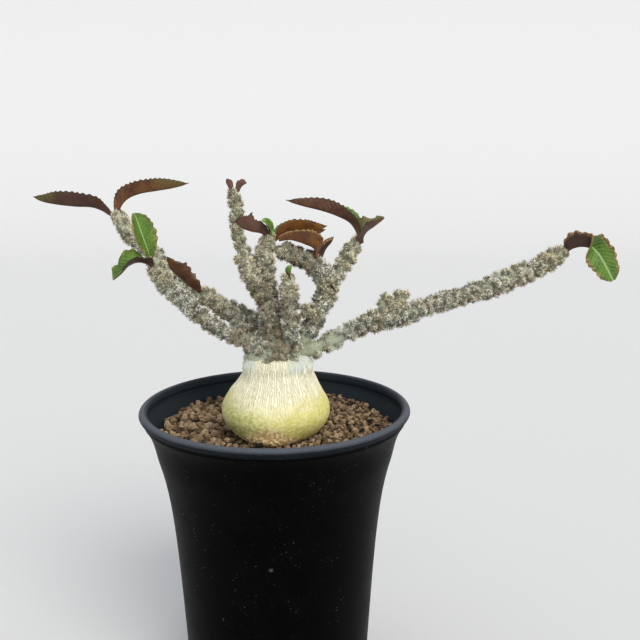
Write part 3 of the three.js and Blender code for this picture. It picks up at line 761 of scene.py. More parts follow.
stems = {
    "skinDepth": 0.35,      # how far the skin lies inside a stem's own radius
    "voxel": 0.32, "sides": 36, "crownSides": 96, "step": 0.5, "tip": 1.2, "youngLength": 19.0,
    "clump": 2.6, "rise": 1.35, "spacing": 0.76, "tuft": 0.72, "crownTuft": 0.62, "seed": 5, "kinds": 10,
    # dark stipules, with branch, foot and point
    "thornRadius": 0.42, "thornSides": 6,
    "thorns": [("branch_arch", (18.8, -6.3, 141.3), (21.0, -6.9, 138.6)),
               ("branch_centre_short", (5.4, -19.0, 147.6), (6.5, -20.0, 145.2))],
    # places x, y, z, reach and strength where tufts are paler (their own cream, with painted light on some)
    # or rusty-brown (their own tone, with painted shade in the middle of the cluster) and where the skin is
    # bare
    "pale": [(17.5, -4, 140, 5.0, 1.0), (8.5, -9.5, 135, 3.5, 0.5), (-4.5, -14, 143, 5, 0.35),
             (66, -8, 141.5, 4, 0.3), (49, -10, 136.5, 4, 0.3), (0, -10.5, 157, 4, 0.5),
             (-11.5, 8, 158, 9, 0.7), (-6, 7, 145, 6, 0.4), (78, -6, 144.5, 8, 0.45), (58, -9, 138, 5, 0.3),
             (-17, -5.5, 134.5, 5, 0.5), (24, 4, 147, 6, 0.5), (-46, 10.5, 154, 8, 0.4)],
    "rusty": [(-4, -15, 140, 6, 1.0), (-2, -13, 147, 4, 0.6), (9, -6, 150.5, 6, 0.8), (6, -18, 137, 5, 0.7),
              (13, -6, 130, 4, 0.7), (-2, -16, 122, 4, 0.5), (1, -13, 129, 6, 0.8), (-10, -13, 126, 5, 0.6),
             (3, -17, 122, 6, 0.9), (1, -18.5, 117, 3, 0.8)],
    "bare": [(-6, -15.5, 116.5, 5.5, 0.95), (8.5, -15.5, 116.5, 5.5, 0.95), (12, -11, 120.5, 5.5, 0.6),
             (20.5, -10.5, 126, 4.5, 0.45), (-8, -12, 124, 4, 0.35),
             (3, -15, 126, 3.0, 0.5), (-14, 4, 131, 5, 0.4), (55, -9, 137, 3, 0.4)],
}

crownRoute = [(0.7, -10, 115, 9.2), (0.6, -9.6, 120, 9.4), (0.6, -9.2, 125, 7.8), (0.6, -9, 129.5, 5.5)]

# x, y, z and radius along every stem of a branch
branches = {
    "branch_right_long": [
        [(5, -10, 119.5, 2.6), (14.5, -10, 122.3, 2.6), (21.5, -10, 125.7, 2.5), (28.5, -10.5, 129.2, 2.8),
         (34.5, -10.5, 131.3, 3.2), (42, -10, 132.8, 3), (49.5, -9.5, 135.3, 2.7), (58, -9, 137.8, 2.8),
         (67, -8, 140.4, 3.1), (75.5, -6.5, 143.4, 3.2), (85.5, -5, 147.4, 3), (93.5, -4, 152, 2.8)],
        [(34, -10.5, 131.5, 2), (35.5, -11, 135.5, 2.1), (37, -12, 139.5, 2)],
        [(38, -10.5, 133, 2), (40, -10, 136.5, 2.2), (41.5, -9.5, 140.5, 2.1)]],
    "branch_left_low": [
        [(1, -11, 119.5, 2.6), (-7, -12, 124, 2.4), (-11.5, -12.5, 126.3, 2.3), (-16.5, -13, 129.1, 2.3),
         (-21, -13.5, 132.2, 2.4), (-25.5, -14, 136.5, 2.6), (-29.5, -14.5, 140.5, 2.8),
         (-33, -15, 144.5, 2.8), (-35, -15, 148.5, 2.8), (-36, -15, 152.5, 2.5)]],
    "branch_arch": [
        [(5, -9, 119, 2.9), (11.5, -7, 127, 2.8), (14.5, -5, 133.5, 2.9), (17.5, -3, 138.5, 3.2),
         (17, -3, 143, 3.3), (12.5, -5, 148.5, 3), (9, -7, 150.5, 2.6), (5, -8, 152.5, 2.6),
         (1.5, -9, 153.5, 2.4)],
        [(15.5, -3, 139, 2.2), (20.5, 2, 143.5, 2.4), (23.5, 4, 147.5, 2.5), (25.5, 5, 151, 2.5),
         (28, 5, 155.5, 2.3)],
        [(14, -5, 131, 1.8), (11.5, -8, 133, 2), (9.8, -9, 134.8, 1.9)]],
    "branch_centre": [
        [(1, -11, 120, 3.2), (0, -13, 130, 3.2), (-0.5, -13, 135.5, 3.3), (-1.5, -12, 140.5, 3.1),
         (-2, -11, 145.5, 3.1), (-2.5, -10, 150.5, 3.1), (-2, -10, 154, 2.6), (0, -10, 158.5, 2)],
        [(-0.5, -13, 135.5, 2.2), (-3.5, -14, 141, 2.5), (-6, -15, 146, 2.6), (-8, -15, 150, 2.5),
         (-9.5, -16, 153.5, 2.2)]],
    "branch_centre_short": [
        [(4.5, -12, 121, 2.4), (6, -16, 129, 2.5), (6, -17, 134, 2.6), (5.5, -17, 139, 2.7),
         (5.5, -17, 143, 2.6), (5, -17, 147, 2.2)]],
    "branch_left_short": [
        [(0, -8, 121, 2.5), (-7.5, -6.5, 126.6, 2.3), (-12, -6, 130.6, 2.3), (-16.5, -5.5, 134.2, 2.4),
         (-20, -5, 137, 2.5), (-22.5, -5, 140, 2.3)]],
    "branch_left_long": [
        [(-1.5, -5, 122, 2.3), (-4.5, 0, 127, 2.3), (-8.5, 3, 129, 2.4), (-14, 5, 131, 2.5),
         (-21.5, 8, 134, 2.3), (-28.5, 9, 137.5, 2.3), (-34, 9, 143, 2.3), (-39, 10, 148.5, 2.4),
         (-43, 10, 152, 2.5), (-47.5, 11, 155, 2.4), (-50, 11, 159, 2.3), (-52.5, 12, 163, 2.1)]],
    "branch_back": [
        [(0, -5, 121, 2.3), (-1, 2, 128, 2.2), (-4, 6, 137, 2.2), (-7, 7, 145, 2.2), (-10.5, 8, 152, 2.2),
         (-11.5, 8, 157, 2.2), (-12, 8, 162.5, 2.1), (-12.5, 8, 167, 2), (-13, 8, 171, 1.8)]],
}


# One tuft: a rosette of small pointed scales, in tuft sizes
def tuftShape(seed):
    draw = random.Random(seed)
    points, faces, tips = [], [], []
    count = draw.choice([5, 6, 7])
    for i in range(count):
        a = (i + draw.uniform(-0.4, 0.4)) * 2 * math.pi / count
        out, side = Vector((math.cos(a), math.sin(a), 0)), Vector((-math.sin(a), math.cos(a), 0))
        r, lean = draw.uniform(0.15, 0.7), draw.uniform(-0.05, 0.5)
        wide, thick, high = draw.uniform(0.2, 0.36), draw.uniform(0.12, 0.2), draw.uniform(0.55, 1.25)
        first = len(points)
        foot = out * r - Vector((0, 0, 0.4))
        points += [foot + side * wide, foot - side * wide, foot - out * thick * 2,
                   out * (r + lean) + side * draw.uniform(-0.2, 0.2) + Vector((0, 0, high))]
        tips += [0, 0, 0, high]
        faces += [(first + 1, first, first + 3), (first + 2, first + 1, first + 3),
                  (first, first + 2, first + 3), (first, first + 1, first + 2)]
    return points, faces, tips


def tuftShapes():
    tufts = []
    for i in range(stems["kinds"]):
        points, faces, tips = tuftShape(80 + i)
        tufts.append(newPiece(f"tuft_{i}", points, faces, tip=tips, frill=np.ones(len(points))))
    return shapeSet("tuft_shapes", tufts)


# Turns lines into round tubes, each as wide as its line says
def fleshyTube():
    tree = Growth("fleshyTube", {"Sides": "Int"})
    line = tree.add("GeometryNodeMeshToCurve", None, {"Mesh": tree.entry.out("Geometry")})
    ring = tree.add("GeometryNodeCurvePrimitiveCircle", {"mode": "RADIUS"}, {
        "Resolution": tree.size("Sides"), "Radius": 1.0})
    tube = tree.add("GeometryNodeCurveToMesh", None, {
        "Curve": line, "Profile Curve": ring, "Scale": tree.named("stemRadius"), "Fill Caps": True})
    return tree.finish(tube)


# Raises clumps on the skin and sets tufts on them, leaning towards the tip
def knobblyBark():
    tree = Growth("knobblyBark", {
        "Tufts": "Collection", "Clump": "Float", "Rise": "Float", "Spacing": "Float", "Tuft": "Float",
        "Seed": "Int"})
    skin = tree.entry.out("Geometry")
    seed, place = tree.size("Seed"), tree.add("GeometryNodeInputPosition")
    bare, young = tree.named("bare"), tree.named("young")
    middles = tree.add("GeometryNodeDistributePointsOnFaces", {"distribute_method": "POISSON"}, {
        "Mesh": skin, "Distance Min": tree.size("Clump"), "Density Max": 6 / tree.size("Clump") ** 2.0,
        "Density Factor": 1 - bare, "Seed": seed})
    nearest = tree.add("GeometryNodeProximity", {"target_element": "POINTS"}, {"Geometry": middles})
    apart = nearest.out("Distance")
    wobble = (tree.noise(place, 1.8 * mm, 2) - 0.5) * 0.75
    clump = 1 - tree.step(apart / tree.size("Clump") + wobble, 0.25, 0.72)
    # how much the skin faces down, for painted shade on the undersides
    down = tree.step(tree.part(tree.add("GeometryNodeInputNormal"), "Z"), 0.1, -0.8)
    fine = tree.noise(place, 0.9 * mm, 2) - 0.5
    skin = tree.store(tree.store(skin, "clump", clump), "down", down)
    rise = tree.size("Rise") * (clump * (1 - 0.35 * bare) - 0.4 * (1 - bare) + 0.3 * bare) + fine * 0.3 * mm
    skin = tree.add("GeometryNodeSetPosition", None, {
        "Geometry": skin, "Offset": tree.scaled(tree.add("GeometryNodeInputNormal"), rise)})
    cover = 1 - tree.step(bare, 0.1, 0.4) * (1 - tree.step(tree.named("clump"), 0.15, 0.4))
    points = tree.add("GeometryNodeDistributePointsOnFaces", {"distribute_method": "POISSON"}, {
        "Mesh": skin, "Distance Min": tree.size("Spacing"), "Density Max": 6 / tree.size("Spacing") ** 2.0,
        "Density Factor": cover, "Seed": seed + 7})
    normal = points.out("Normal")
    points = tree.store(points, "tint", tree.chance(0.0, 1.0, seed + 3))
    towards = tree.add("GeometryNodeInputNamedAttribute", {"data_type": "FLOAT_VECTOR"}, {"Name": "towards"})
    upright = tree.add("FunctionNodeAlignRotationToVector", {"axis": "Z"}, {
        "Vector": tree.vector("ADD", normal, tree.scaled(towards, 0.5))})
    spin = tree.add("FunctionNodeAxisAngleToRotation", None, {
        "Axis": (0, 0, 1), "Angle": tree.chance(0.0, 6.283, seed + 1)})
    turn = tree.add("FunctionNodeRotateRotation", {"rotation_space": "LOCAL"}, {
        "Rotation": upright, "Rotate By": spin})
    size = tree.size("Tuft") * tree.chance(0.75, 1.3, seed + 2) * (1 - 0.15 * young)
    tufts = tree.scatter(points, tree.size("Tufts"), turn, size)
    both = tree.add("GeometryNodeJoinGeometry", None, {"Geometry": [skin, tufts]})
    return tree.finish(both)


def scurfyBark():
    shader = Finish("scurfyBark")
    mix, step = shader.mix, shader.step
    frill, tip, tint, down, thorn = shader.attributes("frill", "tip", "tint", "down", "thorn")
    clump, young, bare, rusty = shader.attributes("clump", "young", "bare", "rusty")
    cloud = shader.cloud(7, 3, 0.6)
    fine = shader.cloud(0.5, 3, 0.65)
    patch = shader.cloud(4.5, 2, 0.5, 0.5) + (tint - 0.5) * 0.08 + rusty * 0.14
    skin = mix(step(cloud, 0.35, 0.65), "#858c6c", "#a9b3a1")
    skin = mix(step(fine, 0.4, 0.7) * 0.6, skin, "#c9cab4")
    skin = mix(step(fine, 0.4, 0.25) * 0.5, skin, "#5b5b3f")
    # painted shade: the skin inside the clumps, among the tufts, is painted dark brown
    skin = mix(step(clump, 0.1, 0.5) * (1 - bare) * 0.7, skin, "#544c3a")
    skin = mix(step(shader.part(shader.place, "Z"), 119.5 * mm, 116.5 * mm), skin, "#c6d0c6")
    # brown patches: partly their own tone, partly painted shade on the undersides that face down
    brown = step(patch + 0.18 * down, 0.56, 0.72)
    blue = step(patch, 0.46, 0.34)
    low = mix(brown, mix(blue, "#45432f", "#454d45"), "#4a3722")
    high = mix(blue, mix(step(tint, 0.1, 0.6), "#e2ddc6", "#fffef4"), "#e8ecdf")
    high = mix(brown * 0.6, high, "#cbb28c")
    # rusty-brown spots: partly their own tone, partly painted shade in the middle of the cluster and near
    # the crown
    high = mix(rusty * 0.7, high, mix(step(tint, 0.3, 0.9), "#6e5435", "#b39a70"))
    low = mix(rusty * 0.6, low, "#33251a")
    cream = mix(step(tint, 0.3, 0.9), "#fffae4", "#f3e3b4")
    high = mix(step(young + (tint - 0.5) * 0.6, 0.3, 0.9) * 0.85, high, cream)
    low = mix(step(young, 0.3, 1.0) * 0.5, low, "#8f8058")
    # painted shade: a noise marks hollows between the bright clusters, where the tufts are darkened
    paintedHollowShade = step(shader.cloud(1.6, 2, 0.6), 0.46, 0.38)
    high = mix(shader.maths("MAXIMUM", step(tint, 0.25, 0.1), paintedHollowShade) * 0.75, high, low)
    # painted shade in the creases between knobs, away from the clump middles, less on young tips
    low = mix(step(clump, 0.4, 0.0) * (1 - 0.6 * young), low, "#2e281c")
    high = mix(step(clump, 0.4, 0.0) * (1 - 0.7 * young) * 0.6, high, low)
    low = mix((1 - paintedHollowShade) * (1 - rusty) * 0.2, low, high)
    # each tuft runs from its low colour at the foot, partly its own darker tone and partly painted shade
    # among the tufts, to its paler tip
    tuft = mix(step(tip + (fine - 0.5) * 0.4, -0.08, 0.25), low, high)
    # painted shade darkens the tufts in the hollows
    tuft = mix(paintedHollowShade * (1 - 0.5 * young) * 0.65, tuft, "#38311f")
    tuft = mix(thorn, tuft, "#3f1d10")
    base = mix(frill, skin, tuft)
    return shader.surface(base, 0.72 + 0.2 * fine, fine, 0.12 * mm, Specular_IOR_Level=0.3)


# Share of a soft spot at every point
def spots(points, places):
    share = np.zeros(len(points))
    for x, y, z, reach, strength in places:
        apart = np.linalg.norm(points - (x, y, z), axis=1)
        share = np.maximum(share, strength * (1 - smoothStep(apart, 0.5 * reach, 1.2 * reach)))
    return share


def makeStem(node, routes, tufts, bark, tuftSize):
    points, edges, radii, young, towards = [], [], [], [], []
    for route in routes:
        route = np.array(route, float)
        shares = np.linspace(0, 1, 600)
        dense, widths = smoothCurve(route[:, :3], shares), smoothNumbers(route[:, 3], 1, shares)
        along = lengthsAlong(dense)
        places = np.linspace(0, along[-1], max(4, round(along[-1] / stems["step"])))
        line = np.column_stack([np.interp(places, along, dense[:, k]) for k in range(3)])
        radius = np.interp(places, along, widths)
        left = (along[-1] - places) / (stems["tip"] * radius)
        dome = np.sqrt(1 - (1 - np.minimum(1, left)) ** 2)
        first = len(points)
        points += list(line)
        edges += [(first + i, first + i + 1) for i in range(len(line) - 1)]
        radii += list(np.maximum(0.05, (radius - stems["skinDepth"]) * dome))
        young += list(1 - smoothStep(along[-1] - places, 2, stems["youngLength"]))
        towards += list(unit(np.gradient(line, axis=0)))
    points, young, towards = np.array(points), np.array(young), np.array(towards)
    if node == "crown":
        young[:] = 0
    piece = newPiece(node + "_bark", points * mm, edges=edges, stemRadius=np.array(radii) * mm)
    grow(piece, fleshyTube(), {
        "Sides": stems["crownSides" if node == "crown" else "sides"], "Material": bark})
    remesh = piece.modifiers.new("fuse", "REMESH")
    remesh.mode = "VOXEL"
    remesh.voxel_size = stems["voxel"] * mm
    remesh.use_smooth_shade = True
    plainMesh(piece)
    tree = KDTree(len(points))
    for i, point in enumerate(points):
        tree.insert(point, i)
    tree.balance()
    skin = np.array([v.co[:] for v in piece.data.vertices]) / mm
    nearest = [tree.find(p)[1] for p in skin]
    rusty, bare = spots(skin, stems["rusty"]), spots(skin, stems["bare"])
    # pale spots, partly the tufts' own cream tone and partly painted light, are given the young tips' cream
    youth = np.maximum(young[nearest] * (1 - rusty), spots(skin, stems["pale"]))
    for name, share in (("young", youth), ("rusty", rusty), ("bare", bare)):
        setShare(piece.data, name, share)
    piece.data.attributes.new("towards", "FLOAT_VECTOR", "POINT").data.foreach_set(
        "vector", towards[nearest].astype(np.float32).ravel())
    grow(piece, knobblyBark(), {
        "Tufts": tufts, "Clump": stems["clump"] * mm, "Rise": stems["rise"] * mm,
        "Spacing": stems["spacing"] * mm, "Tuft": tuftSize * mm, "Seed": stems["seed"], "Material": bark})
    joinPieces(piece, [thornPiece(foot, tip, bark) for owner, foot, tip in stems["thorns"] if owner == node])
    keepPiece(piece, node)


# A dark pointed stipule, from its foot to its point
def thornPiece(foot, tip, bark):
    foot, tip = Vector(foot), Vector(tip)
    side = (tip - foot).cross(Vector((0, 1, 0.2))).normalized() * stems["thornRadius"]
    back = (tip - foot).cross(side).normalized() * stems["thornRadius"]
    count = stems["thornSides"]
    ring = [foot + side * math.cos(a) + back * math.sin(a) for a in np.arange(count) / count * 2 * math.pi]
    points = np.array([*ring, foot + (foot - tip) * 0.2, tip])
    faces = [(i, (i + 1) % count, count + 1) for i in range(count)]
    faces += [((i + 1) % count, i, count) for i in range(count)]
    piece = newPiece("thorn", points * mm, faces, thorn=np.ones(len(points)), frill=np.ones(len(points)))
    piece.data.materials.append(bark)
    return piece


def makeStems():
    bark = scurfyBark()
    tufts = tuftShapes()
    makeStem("crown", [crownRoute], tufts, bark, stems["crownTuft"])
    for node, routes in branches.items():
        makeStem(node, routes, tufts, bark, stems["tuft"])
    dropShapes(tufts)


makeStems()
print("stems are covered with tufts")


# Leaves

leafForm = {
    "fold": 58, "turn": (0.15, 0.85), "curl": 1.2, "wave": 0.06, "waveTurns": 9, "waveShift": 2,
    "thick": 0.62, "thin": 0.34, "rowStep": 0.28, "halfColumns": 12, "toothDepth": 0.055, "ribRise": 0.3,
}

# Rib points are x, y, z and half width. "opens" is where the blade faces, "teeth" counts its scallops.
# "deep" and "ruffle" are how far its scallops and lobes go, "fold" is in degrees, and "turn" is where
# along the rib the blade turns to face "turnsTo". The looks are shares: green of the underside, warm or
# dusty for its brown, dry for a scorched margin, and so on.
leaves = {
    "leaf_left_long_1": {"teeth": 19, "opens": (0, 0.25, 1), "warm": 0.12, "tipGreen": 1.0, "rib": [
        (-53.5, 12, 162, 0.6), (-57, 12, 164, 2.3), (-60, 11, 165.2, 4.2), (-65.5, 10, 165.6, 4.8),
        (-71.5, 9, 166.4, 4.2), (-75.5, 8.5, 167.3, 2.6), (-78.5, 8, 168.7, 0.3)]},
    "leaf_left_long_2": {"teeth": 22, "opens": (-0.3, 0.25, 1), "warm": 0.6, "dusty": 0.2, "tipGreen": 0.8,
        "rib": [
        (-52.2, 12.5, 162, 0.6), (-51.3, 12.5, 164.9, 2.2), (-48.9, 12.5, 167.6, 4.2),
        (-45, 13, 169.3, 4.7), (-39.5, 14, 170.2, 4.3), (-34, 15, 171, 2.8), (-28.5, 16, 172.3, 0.15)]},
    "leaf_left_low_green": {"teeth": 9, "deep": 1.9, "fold": 38, "opens": (0.7, -0.85, 0.1), "green": 0.8,
        "dry": 0.45, "rib": [
        (-37, -15.5, 151, 0.5), (-37.7, -16.6, 154.6, 3), (-38.8, -17.2, 158.4, 4.9),
        (-40, -17.2, 162.2, 4.5), (-40.8, -16.8, 164.4, 3), (-41.4, -16.4, 165.8, 0.5)]},
    "leaf_left_low_curved": {"teeth": 9, "deep": 2.2, "fold": 50, "opens": (0.1, 0.1, 1),
        "turn": (0.3, 0.6), "turnsTo": (-0.1, -0.7, 0.8), "dry": 0.1, "ruffle": 1.0, "rib": [
        (-36, -16, 149.5, 0.6), (-38, -18, 151, 2.6), (-40, -19, 151.5, 3.6), (-43, -20, 150.5, 4.4),
        (-45.5, -20, 148, 3.4), (-48, -20, 146, 0.3)]},
    "leaf_left_short": {"teeth": 8, "deep": 1.7, "dusty": 0.15, "parched": 1.0, "opens": (0.7, 0.3, 0.7),
        "warm": 0.2, "dry": 0.2, "ruffle": 0.6, "rib": [
        (-23, -6, 139.5, 0.6), (-26, -8, 142, 4), (-28.5, -8.5, 144.5, 4.8), (-31, -9, 146.8, 4.4),
        (-32.3, -9, 149, 3.2), (-32.8, -9, 151.2, 0.6)]},
    "leaf_back_1": {"teeth": 3, "fold": 35, "opens": (0.2, 1, 0.1), "dusty": 1.0, "rib": [
        (-13.5, 7.5, 170, 0.3), (-13.9, 7.2, 171.8, 1.0), (-14.4, 7, 173.1, 1.3),
        (-14.9, 6.8, 174.3, 0.3)]},
    "leaf_back_2": {"teeth": 5, "opens": (-0.3, 1, 0.4), "dusty": 1.0, "ruffle": 0.8, "rib": [
        (-12, 8, 169.6, 0.3), (-11.2, 8, 171.2, 1.6), (-10.2, 8, 172.3, 2.4), (-8.9, 8, 173.1, 1.0)]},
    "leaf_centre_left": {"teeth": 9, "deep": 1.5, "dusty": 0.5, "opens": (0, 0.3, 1), "warm": 0.1,
        "ruffle": 0.5, "rib": [
        (-0.5, -10.5, 157.5, 0.5), (-3, -12, 159.4, 2.8), (-6, -13, 160.1, 4.6), (-8.8, -13.6, 161.3, 5),
        (-10.8, -14, 163.2, 2.6)]},
    "leaf_centre_small": {"teeth": 6, "deep": 2.0, "fold": 46, "opens": (0.8, -0.8, 0.2), "green": 0.6,
        "ruffle": 0.5, "rib": [
        (0.4, -12, 158.4, 0.3), (-0.2, -13.2, 160.9, 1.3), (-1.2, -13.8, 162.5, 1.6),
        (-2.5, -14, 163.6, 0.4)]},
    "leaf_centre_right": {"teeth": 14, "opens": (0, 0.25, 1), "warm": 0.9, "rib": [
        (1, -10, 156.6, 0.5), (2.8, -8.5, 158.4, 2.8), (6, -6.5, 159.2, 4), (11, -5, 159, 4),
        (14.5, -5, 159.4, 2.4), (17.5, -5, 160.4, 0.3)]},
    "leaf_centre_behind": {"teeth": 12, "dusty": 0.5, "opens": (0, 0.3, 1), "warm": 1.0, "rib": [
        (0.3, -8.6, 156, 0.5), (3.5, -4, 157.6, 2.6), (8.5, -1, 157.4, 3.2), (13.5, 0, 157.2, 2.8),
        (17, 0, 158.6, 0.3)]},
    "leaf_arch": {"teeth": 13, "opens": (0, 0.2, 1), "warm": 0.8, "paleEdge": 1.0, "rib": [
        (13.9, -7.2, 150.6, 0.4), (14, -7.8, 152.8, 2), (13.1, -8.7, 154.3, 4.7), (11, -9.5, 155.4, 5),
        (8.8, -10.3, 156.3, 4), (5.8, -11, 157.1, 2.8), (2.4, -11.5, 156.7, 1.4)]},
    "leaf_arch_spear": {"teeth": 4, "fold": 72, "opens": (-0.8, -0.2, 0.6), "dry": 1.0, "parched": 1.0,
        "rib": [
        (14.8, -4.5, 149, 0.5), (16.5, -5, 153, 1.6), (18.2, -5.5, 155, 1.7), (19.5, -6, 157, 0.3)]},
    "leaf_upper_long": {"teeth": 21, "opens": (0.2, -0.42, 1), "turnsTo": (0.2, 0.3, 1), "warm": 0.2,
        "dusty": 0.6, "rib": [
        (28, 5.5, 153.6, 0.5), (27.6, 5.3, 156.6, 1.9), (25.2, 4.5, 160.4, 3.8), (21, 3.5, 162.8, 4.3),
        (16, 2, 164.7, 4.1), (10, 1, 166.3, 2.8), (4.3, 0, 168.1, 0.15)]},
    "leaf_upper_cup": {"teeth": 8, "deep": 2.4, "fold": 52, "dusty": 0.3, "opens": (-0.6, -0.35, 1),
        "warm": 0.2, "ruffle": 0.9, "parched": 0.65, "rib": [
        (28.6, 4, 153.5, 0.6), (29, 3.4, 155.8, 3), (30.2, 3.2, 157.6, 4.6), (32.4, 3.2, 159.2, 3.8),
        (34.8, 3.4, 161, 2.2), (36, 3.5, 162, 0.6)]},
    "leaf_centre_short": {"teeth": 4, "fold": 48, "opens": (-0.7, -0.8, 0.2), "green": 0.5, "rib": [
        (5.4, -17.7, 146.4, 0.3), (5.6, -18.5, 148, 1.2), (6, -19, 149.1, 1.2), (6.5, -19.4, 150.1, 0.3)]},
    "leaf_right_tip": {"teeth": 13, "deep": 2.2, "fold": 66, "flatTo": 14, "turn": (0.36, 0.6),
        "opens": (-0.15, 0.45, 1), "turnsTo": (-0.25, -1, 0.25), "dry": 0.8, "ruffle": 0.6, "paleEdge": 1.0,
        "rib": [
        (93, -4.5, 151.5, 0.6), (94.8, -5.8, 153.2, 3.6), (97.3, -6.8, 154.1, 5.6), (100, -7.8, 153.8, 5.4),
        (102.3, -9.2, 152, 5.1), (104, -10, 149.4, 4.9), (105.8, -10.2, 146.2, 3.9),
        (107.4, -9.8, 143.4, 1)]},
}
leafLooks = ("green", "warm", "dusty", "dry", "tipGreen", "paleEdge", "parched")


# The blade's middle sheet as a grid of points, with its normals
def bladeSheet(leaf, seed):
    draw = random.Random(seed)
    rib = np.array(leaf["rib"], float)
    rows = max(40, round(lengthsAlong(rib[:, :3])[-1] / leafForm["rowStep"]))
    t = np.linspace(0, 1, rows)
    centre = smoothCurve(rib[:, :3], t)
    half = np.maximum(0.15, smoothNumbers(rib[:, 3], 3, t))
    along = unit(np.gradient(centre, axis=0))
    mix = smoothStep(t, *leaf.get("turn", leafForm["turn"]))[:, None]
    opens = unit(np.array(leaf["opens"], float))
    up = opens * (1 - mix) + unit(np.array(leaf.get("turnsTo", leaf["opens"]), float)) * mix
    up = unit(up - along * (up * along).sum(1)[:, None])
    side = np.cross(along, up)
    wide = smoothStep(half, 0.75, 3.0)
    fold = leaf.get("fold", leafForm["fold"])
    lean = smoothStep(half, 0.3, 1.5) * np.radians(fold + (leaf.get("flatTo", fold) - fold) * mix[:, 0])
    s = np.linspace(-1, 1, 2 * leafForm["halfColumns"] + 1)
    shares = np.sign(s) * (1 - (1 - np.abs(s)) ** 1.35)
    sheet = np.zeros((rows, len(s), 3))
    notch = np.zeros((rows, len(s)))
    for edge in (-1, 1):
        phase, turns = draw.uniform(0, 1), leaf["teeth"] + draw.uniform(-0.5, 0.5)
        swing = 0.12 * np.sin(2 * math.pi * (2.3 * t + phase))
        scallop = np.abs(np.sin(math.pi * (turns * t + phase + swing))) ** 0.7
        deep = leaf.get("deep", 1) * leafForm["toothDepth"] * (0.75 + 0.5 * np.sin(7 * t + 9 * phase) ** 2)
        cut = wide * deep * (1 - scallop)
        frizz = wide * 0.035 * np.sin(2 * math.pi * turns * t + 3 * phase)
        lobes = leaf.get("ruffle", 0) * wide * np.sin(2 * math.pi * (2.2 * t + phase))
        cut = cut + 0.3 * np.maximum(0, -lobes) ** 2
        shift = 0 if edge > 0 else leafForm["waveShift"]
        wave = leafForm["wave"] * wide * np.sin(leafForm["waveTurns"] * t + shift)
        for j, share in enumerate(shares):
            if share * edge < 0 or (share == 0 and edge < 0):
                continue
            a = abs(share)
            notch[:, j] = wide * (1 - scallop) * a ** 4
            w = half * (1 - cut * a ** 4)
            rise = ((a * a + 0.004) ** (0.5 * leafForm["curl"]) - 0.004 ** (0.5 * leafForm["curl"]))
            lift = w * rise * np.sin(lean) + w * ((wave + 0.2 * lobes) * a * a + frizz * a ** 5)
            sheet[:, j] = centre + side * (w * share * np.cos(lean))[:, None] + up * lift[:, None]
    downRows = np.gradient(sheet, axis=0)
    acrossColumns = np.gradient(sheet, axis=1)
    normal = unit(np.cross(downRows, acrossColumns))
    facing = np.sign((normal[:, leafForm["halfColumns"]] * up).sum(1))[:, None, None]
    return sheet, normal * facing, t, shares, half, notch


def makeLeaf(name, leaf, finish, seed):
    sheet, normal, t, shares, half, notch = bladeSheet(leaf, seed)
    rows, columns = sheet.shape[:2]
    a = np.abs(shares)[None, :]
    stalk = ((1 - smoothStep(half, 0.7, 2.2)) * (t < 0.5))[:, None]
    taper = (0.35 + 0.65 * smoothStep(half, 0.15, 1.4))[:, None]
    thick = leafForm["thin"] + (leafForm["thick"] - leafForm["thin"]) * (1 - a ** 1.5)
    thick = (thick + 0.5 * stalk * (1 - a * a)) * np.maximum(taper, stalk)
    edge = np.sqrt(np.clip(1 - a ** 8, 0, 1)) * 0.9 + 0.1
    ribbed = leafForm["ribRise"] * np.exp(-(a * half[:, None] / 0.4) ** 2) * (1 - 0.7 * t[:, None]) * taper
    upper = sheet + normal * (thick * edge / 2 - 0.35 * ribbed)[..., None]
    under = sheet - normal * (thick * edge / 2 + ribbed)[..., None]
    points = np.vstack([upper.reshape(-1, 3), under.reshape(-1, 3)])
    count = rows * columns
    faces = []
    for i in range(rows - 1):
        for j in range(columns - 1):
            p = i * columns + j
            faces.append((p, p + 1, p + columns + 1, p + columns))
            faces.append((p + count, p + count + columns, p + count + columns + 1, p + count + 1))
    rim = list(range(columns - 1)) + [i * columns + columns - 1 for i in range(rows - 1)]
    rim += [(rows - 1) * columns + j for j in range(columns - 1, 0, -1)]
    rim += [i * columns for i in range(rows - 1, 0, -1)]
    for p, q in zip(rim, rim[1:] + rim[:1]):
        faces.append((p, p + count, q + count, q))
    piece = newPiece(name.replace("leaf", "blade"), points * mm, faces,
                     along=np.tile(np.repeat(t, columns), 2), across=np.tile(shares, 2 * rows),
                     halfWidth=np.tile(np.repeat(half, columns), 2),
                     upper=np.repeat([1.0, 0.0], count), notch=np.tile(notch.ravel(), 2),
                     **{look: np.full(2 * count, leaf.get(look, 0.0)) for look in leafLooks})
    piece.data.materials.append(finish)
    keepPiece(piece, name)


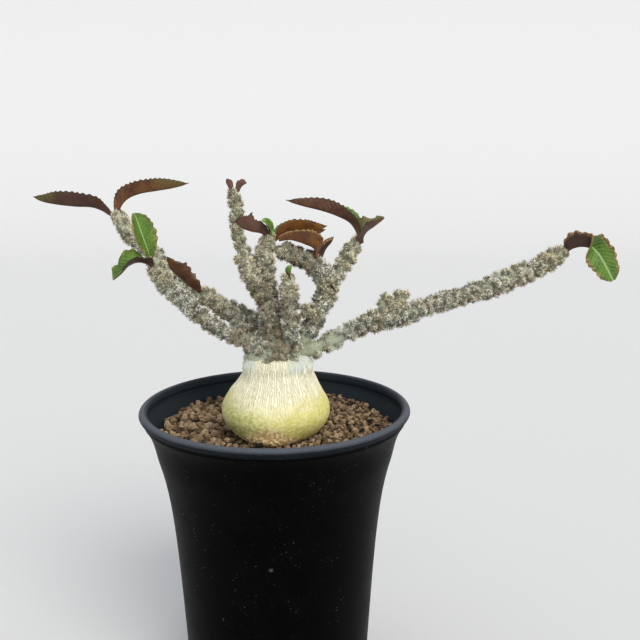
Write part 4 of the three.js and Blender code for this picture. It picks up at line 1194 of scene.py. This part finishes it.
def livingLeaf():
    shader = Finish("livingLeaf")
    mix, step = shader.mix, shader.step
    along, across, upper = shader.attributes("along", "across", "upper")
    halfWidth, notch = shader.attributes("halfWidth", "notch")
    green, warm, dusty, dry, tipGreen, paleEdge, parched = shader.attributes(*leafLooks)
    off = shader.maths("ABSOLUTE", across)
    cloud = shader.cloud(4, 3, 0.6)
    fine = shader.cloud(0.7, 3, 0.6)
    tone = step(cloud, 0.35, 0.65)
    slant = along * 30 - off * halfWidth + (cloud - 0.5) * 1.2
    vein = shader.maths("ABSOLUTE", shader.maths("FRACT", slant / 1.7) - 0.5) * 2
    vein = step(vein, 0.72, 0.98) * (1 - step(off, 0.75, 0.98))
    rib = 1 - step(off * halfWidth, 0.12, 0.5)
    margin = step(off + (fine - 0.5) * 0.12, 0.87, 0.98)
    web = 1 - step(shader.cells(0.8, "DISTANCE_TO_EDGE"), 0.02, 0.14)
    top = mix(tone, "#335413", "#52751e")
    top = mix(step(fine, 0.4, 0.7) * 0.35, top, "#7a9836")
    top = mix(vein * 0.5 + web * 0.1, top, "#86ab55")
    top = mix(rib * 0.8, top, "#a3bf80")
    top = mix(parched, top, "#70563c")
    brown = mix(step(cloud, 0.3, 0.7), "#2f1813", "#47281d")
    orange = mix(step(cloud, 0.3, 0.7), "#5e3410", "#8a5614")
    under = mix(warm, brown, orange)
    under = mix(dusty * 0.6, under, mix(tone, "#6b4537", "#8a6652"))
    olive = tipGreen * step(along + (cloud - 0.5) * 0.35 + off * 0.12, 0.62, 0.95)
    under = mix(olive * 0.75, under, "#5a5a24")
    under = mix(vein * 0.4 + web * 0.18, under, "#1f0f0c")
    under = mix(rib * 0.35, under, "#6b3f30")
    leafy = mix(tone, "#5d8a35", "#77a049")
    under = mix(green * step(along + (cloud - 0.5) * 0.3, 0.35, 0.5), under, leafy)
    base = mix(upper, under, top)
    rimColour = mix(upper * (1 - parched), "#33280f", "#8a9440")
    base = mix(margin * 0.65, base, mix(paleEdge, rimColour, "#a98f58"))
    base = mix(step(notch, 0.15, 0.6) * 0.75, base, "#1f1509")
    scorch = step(off + (cloud - 0.5) * 0.8, 0.66, 0.92) * dry
    crisp = mix(step(fine, 0.4, 0.65), "#6a4024", "#c3a272")
    base = mix(scorch * 0.85, base, crisp)
    height = fine * 0.4 + vein * 0.8 + web * 0.3
    return shader.surface(base, 0.4 + 0.15 * fine + 0.2 * scorch, height, 0.08 * mm, Specular_IOR_Level=0.45)


def makeLeaves():
    finish = livingLeaf()
    for i, (name, leaf) in enumerate(leaves.items()):
        makeLeaf(name, leaf, finish, 300 + i)


makeLeaves()
print("leaves are folded and veined")
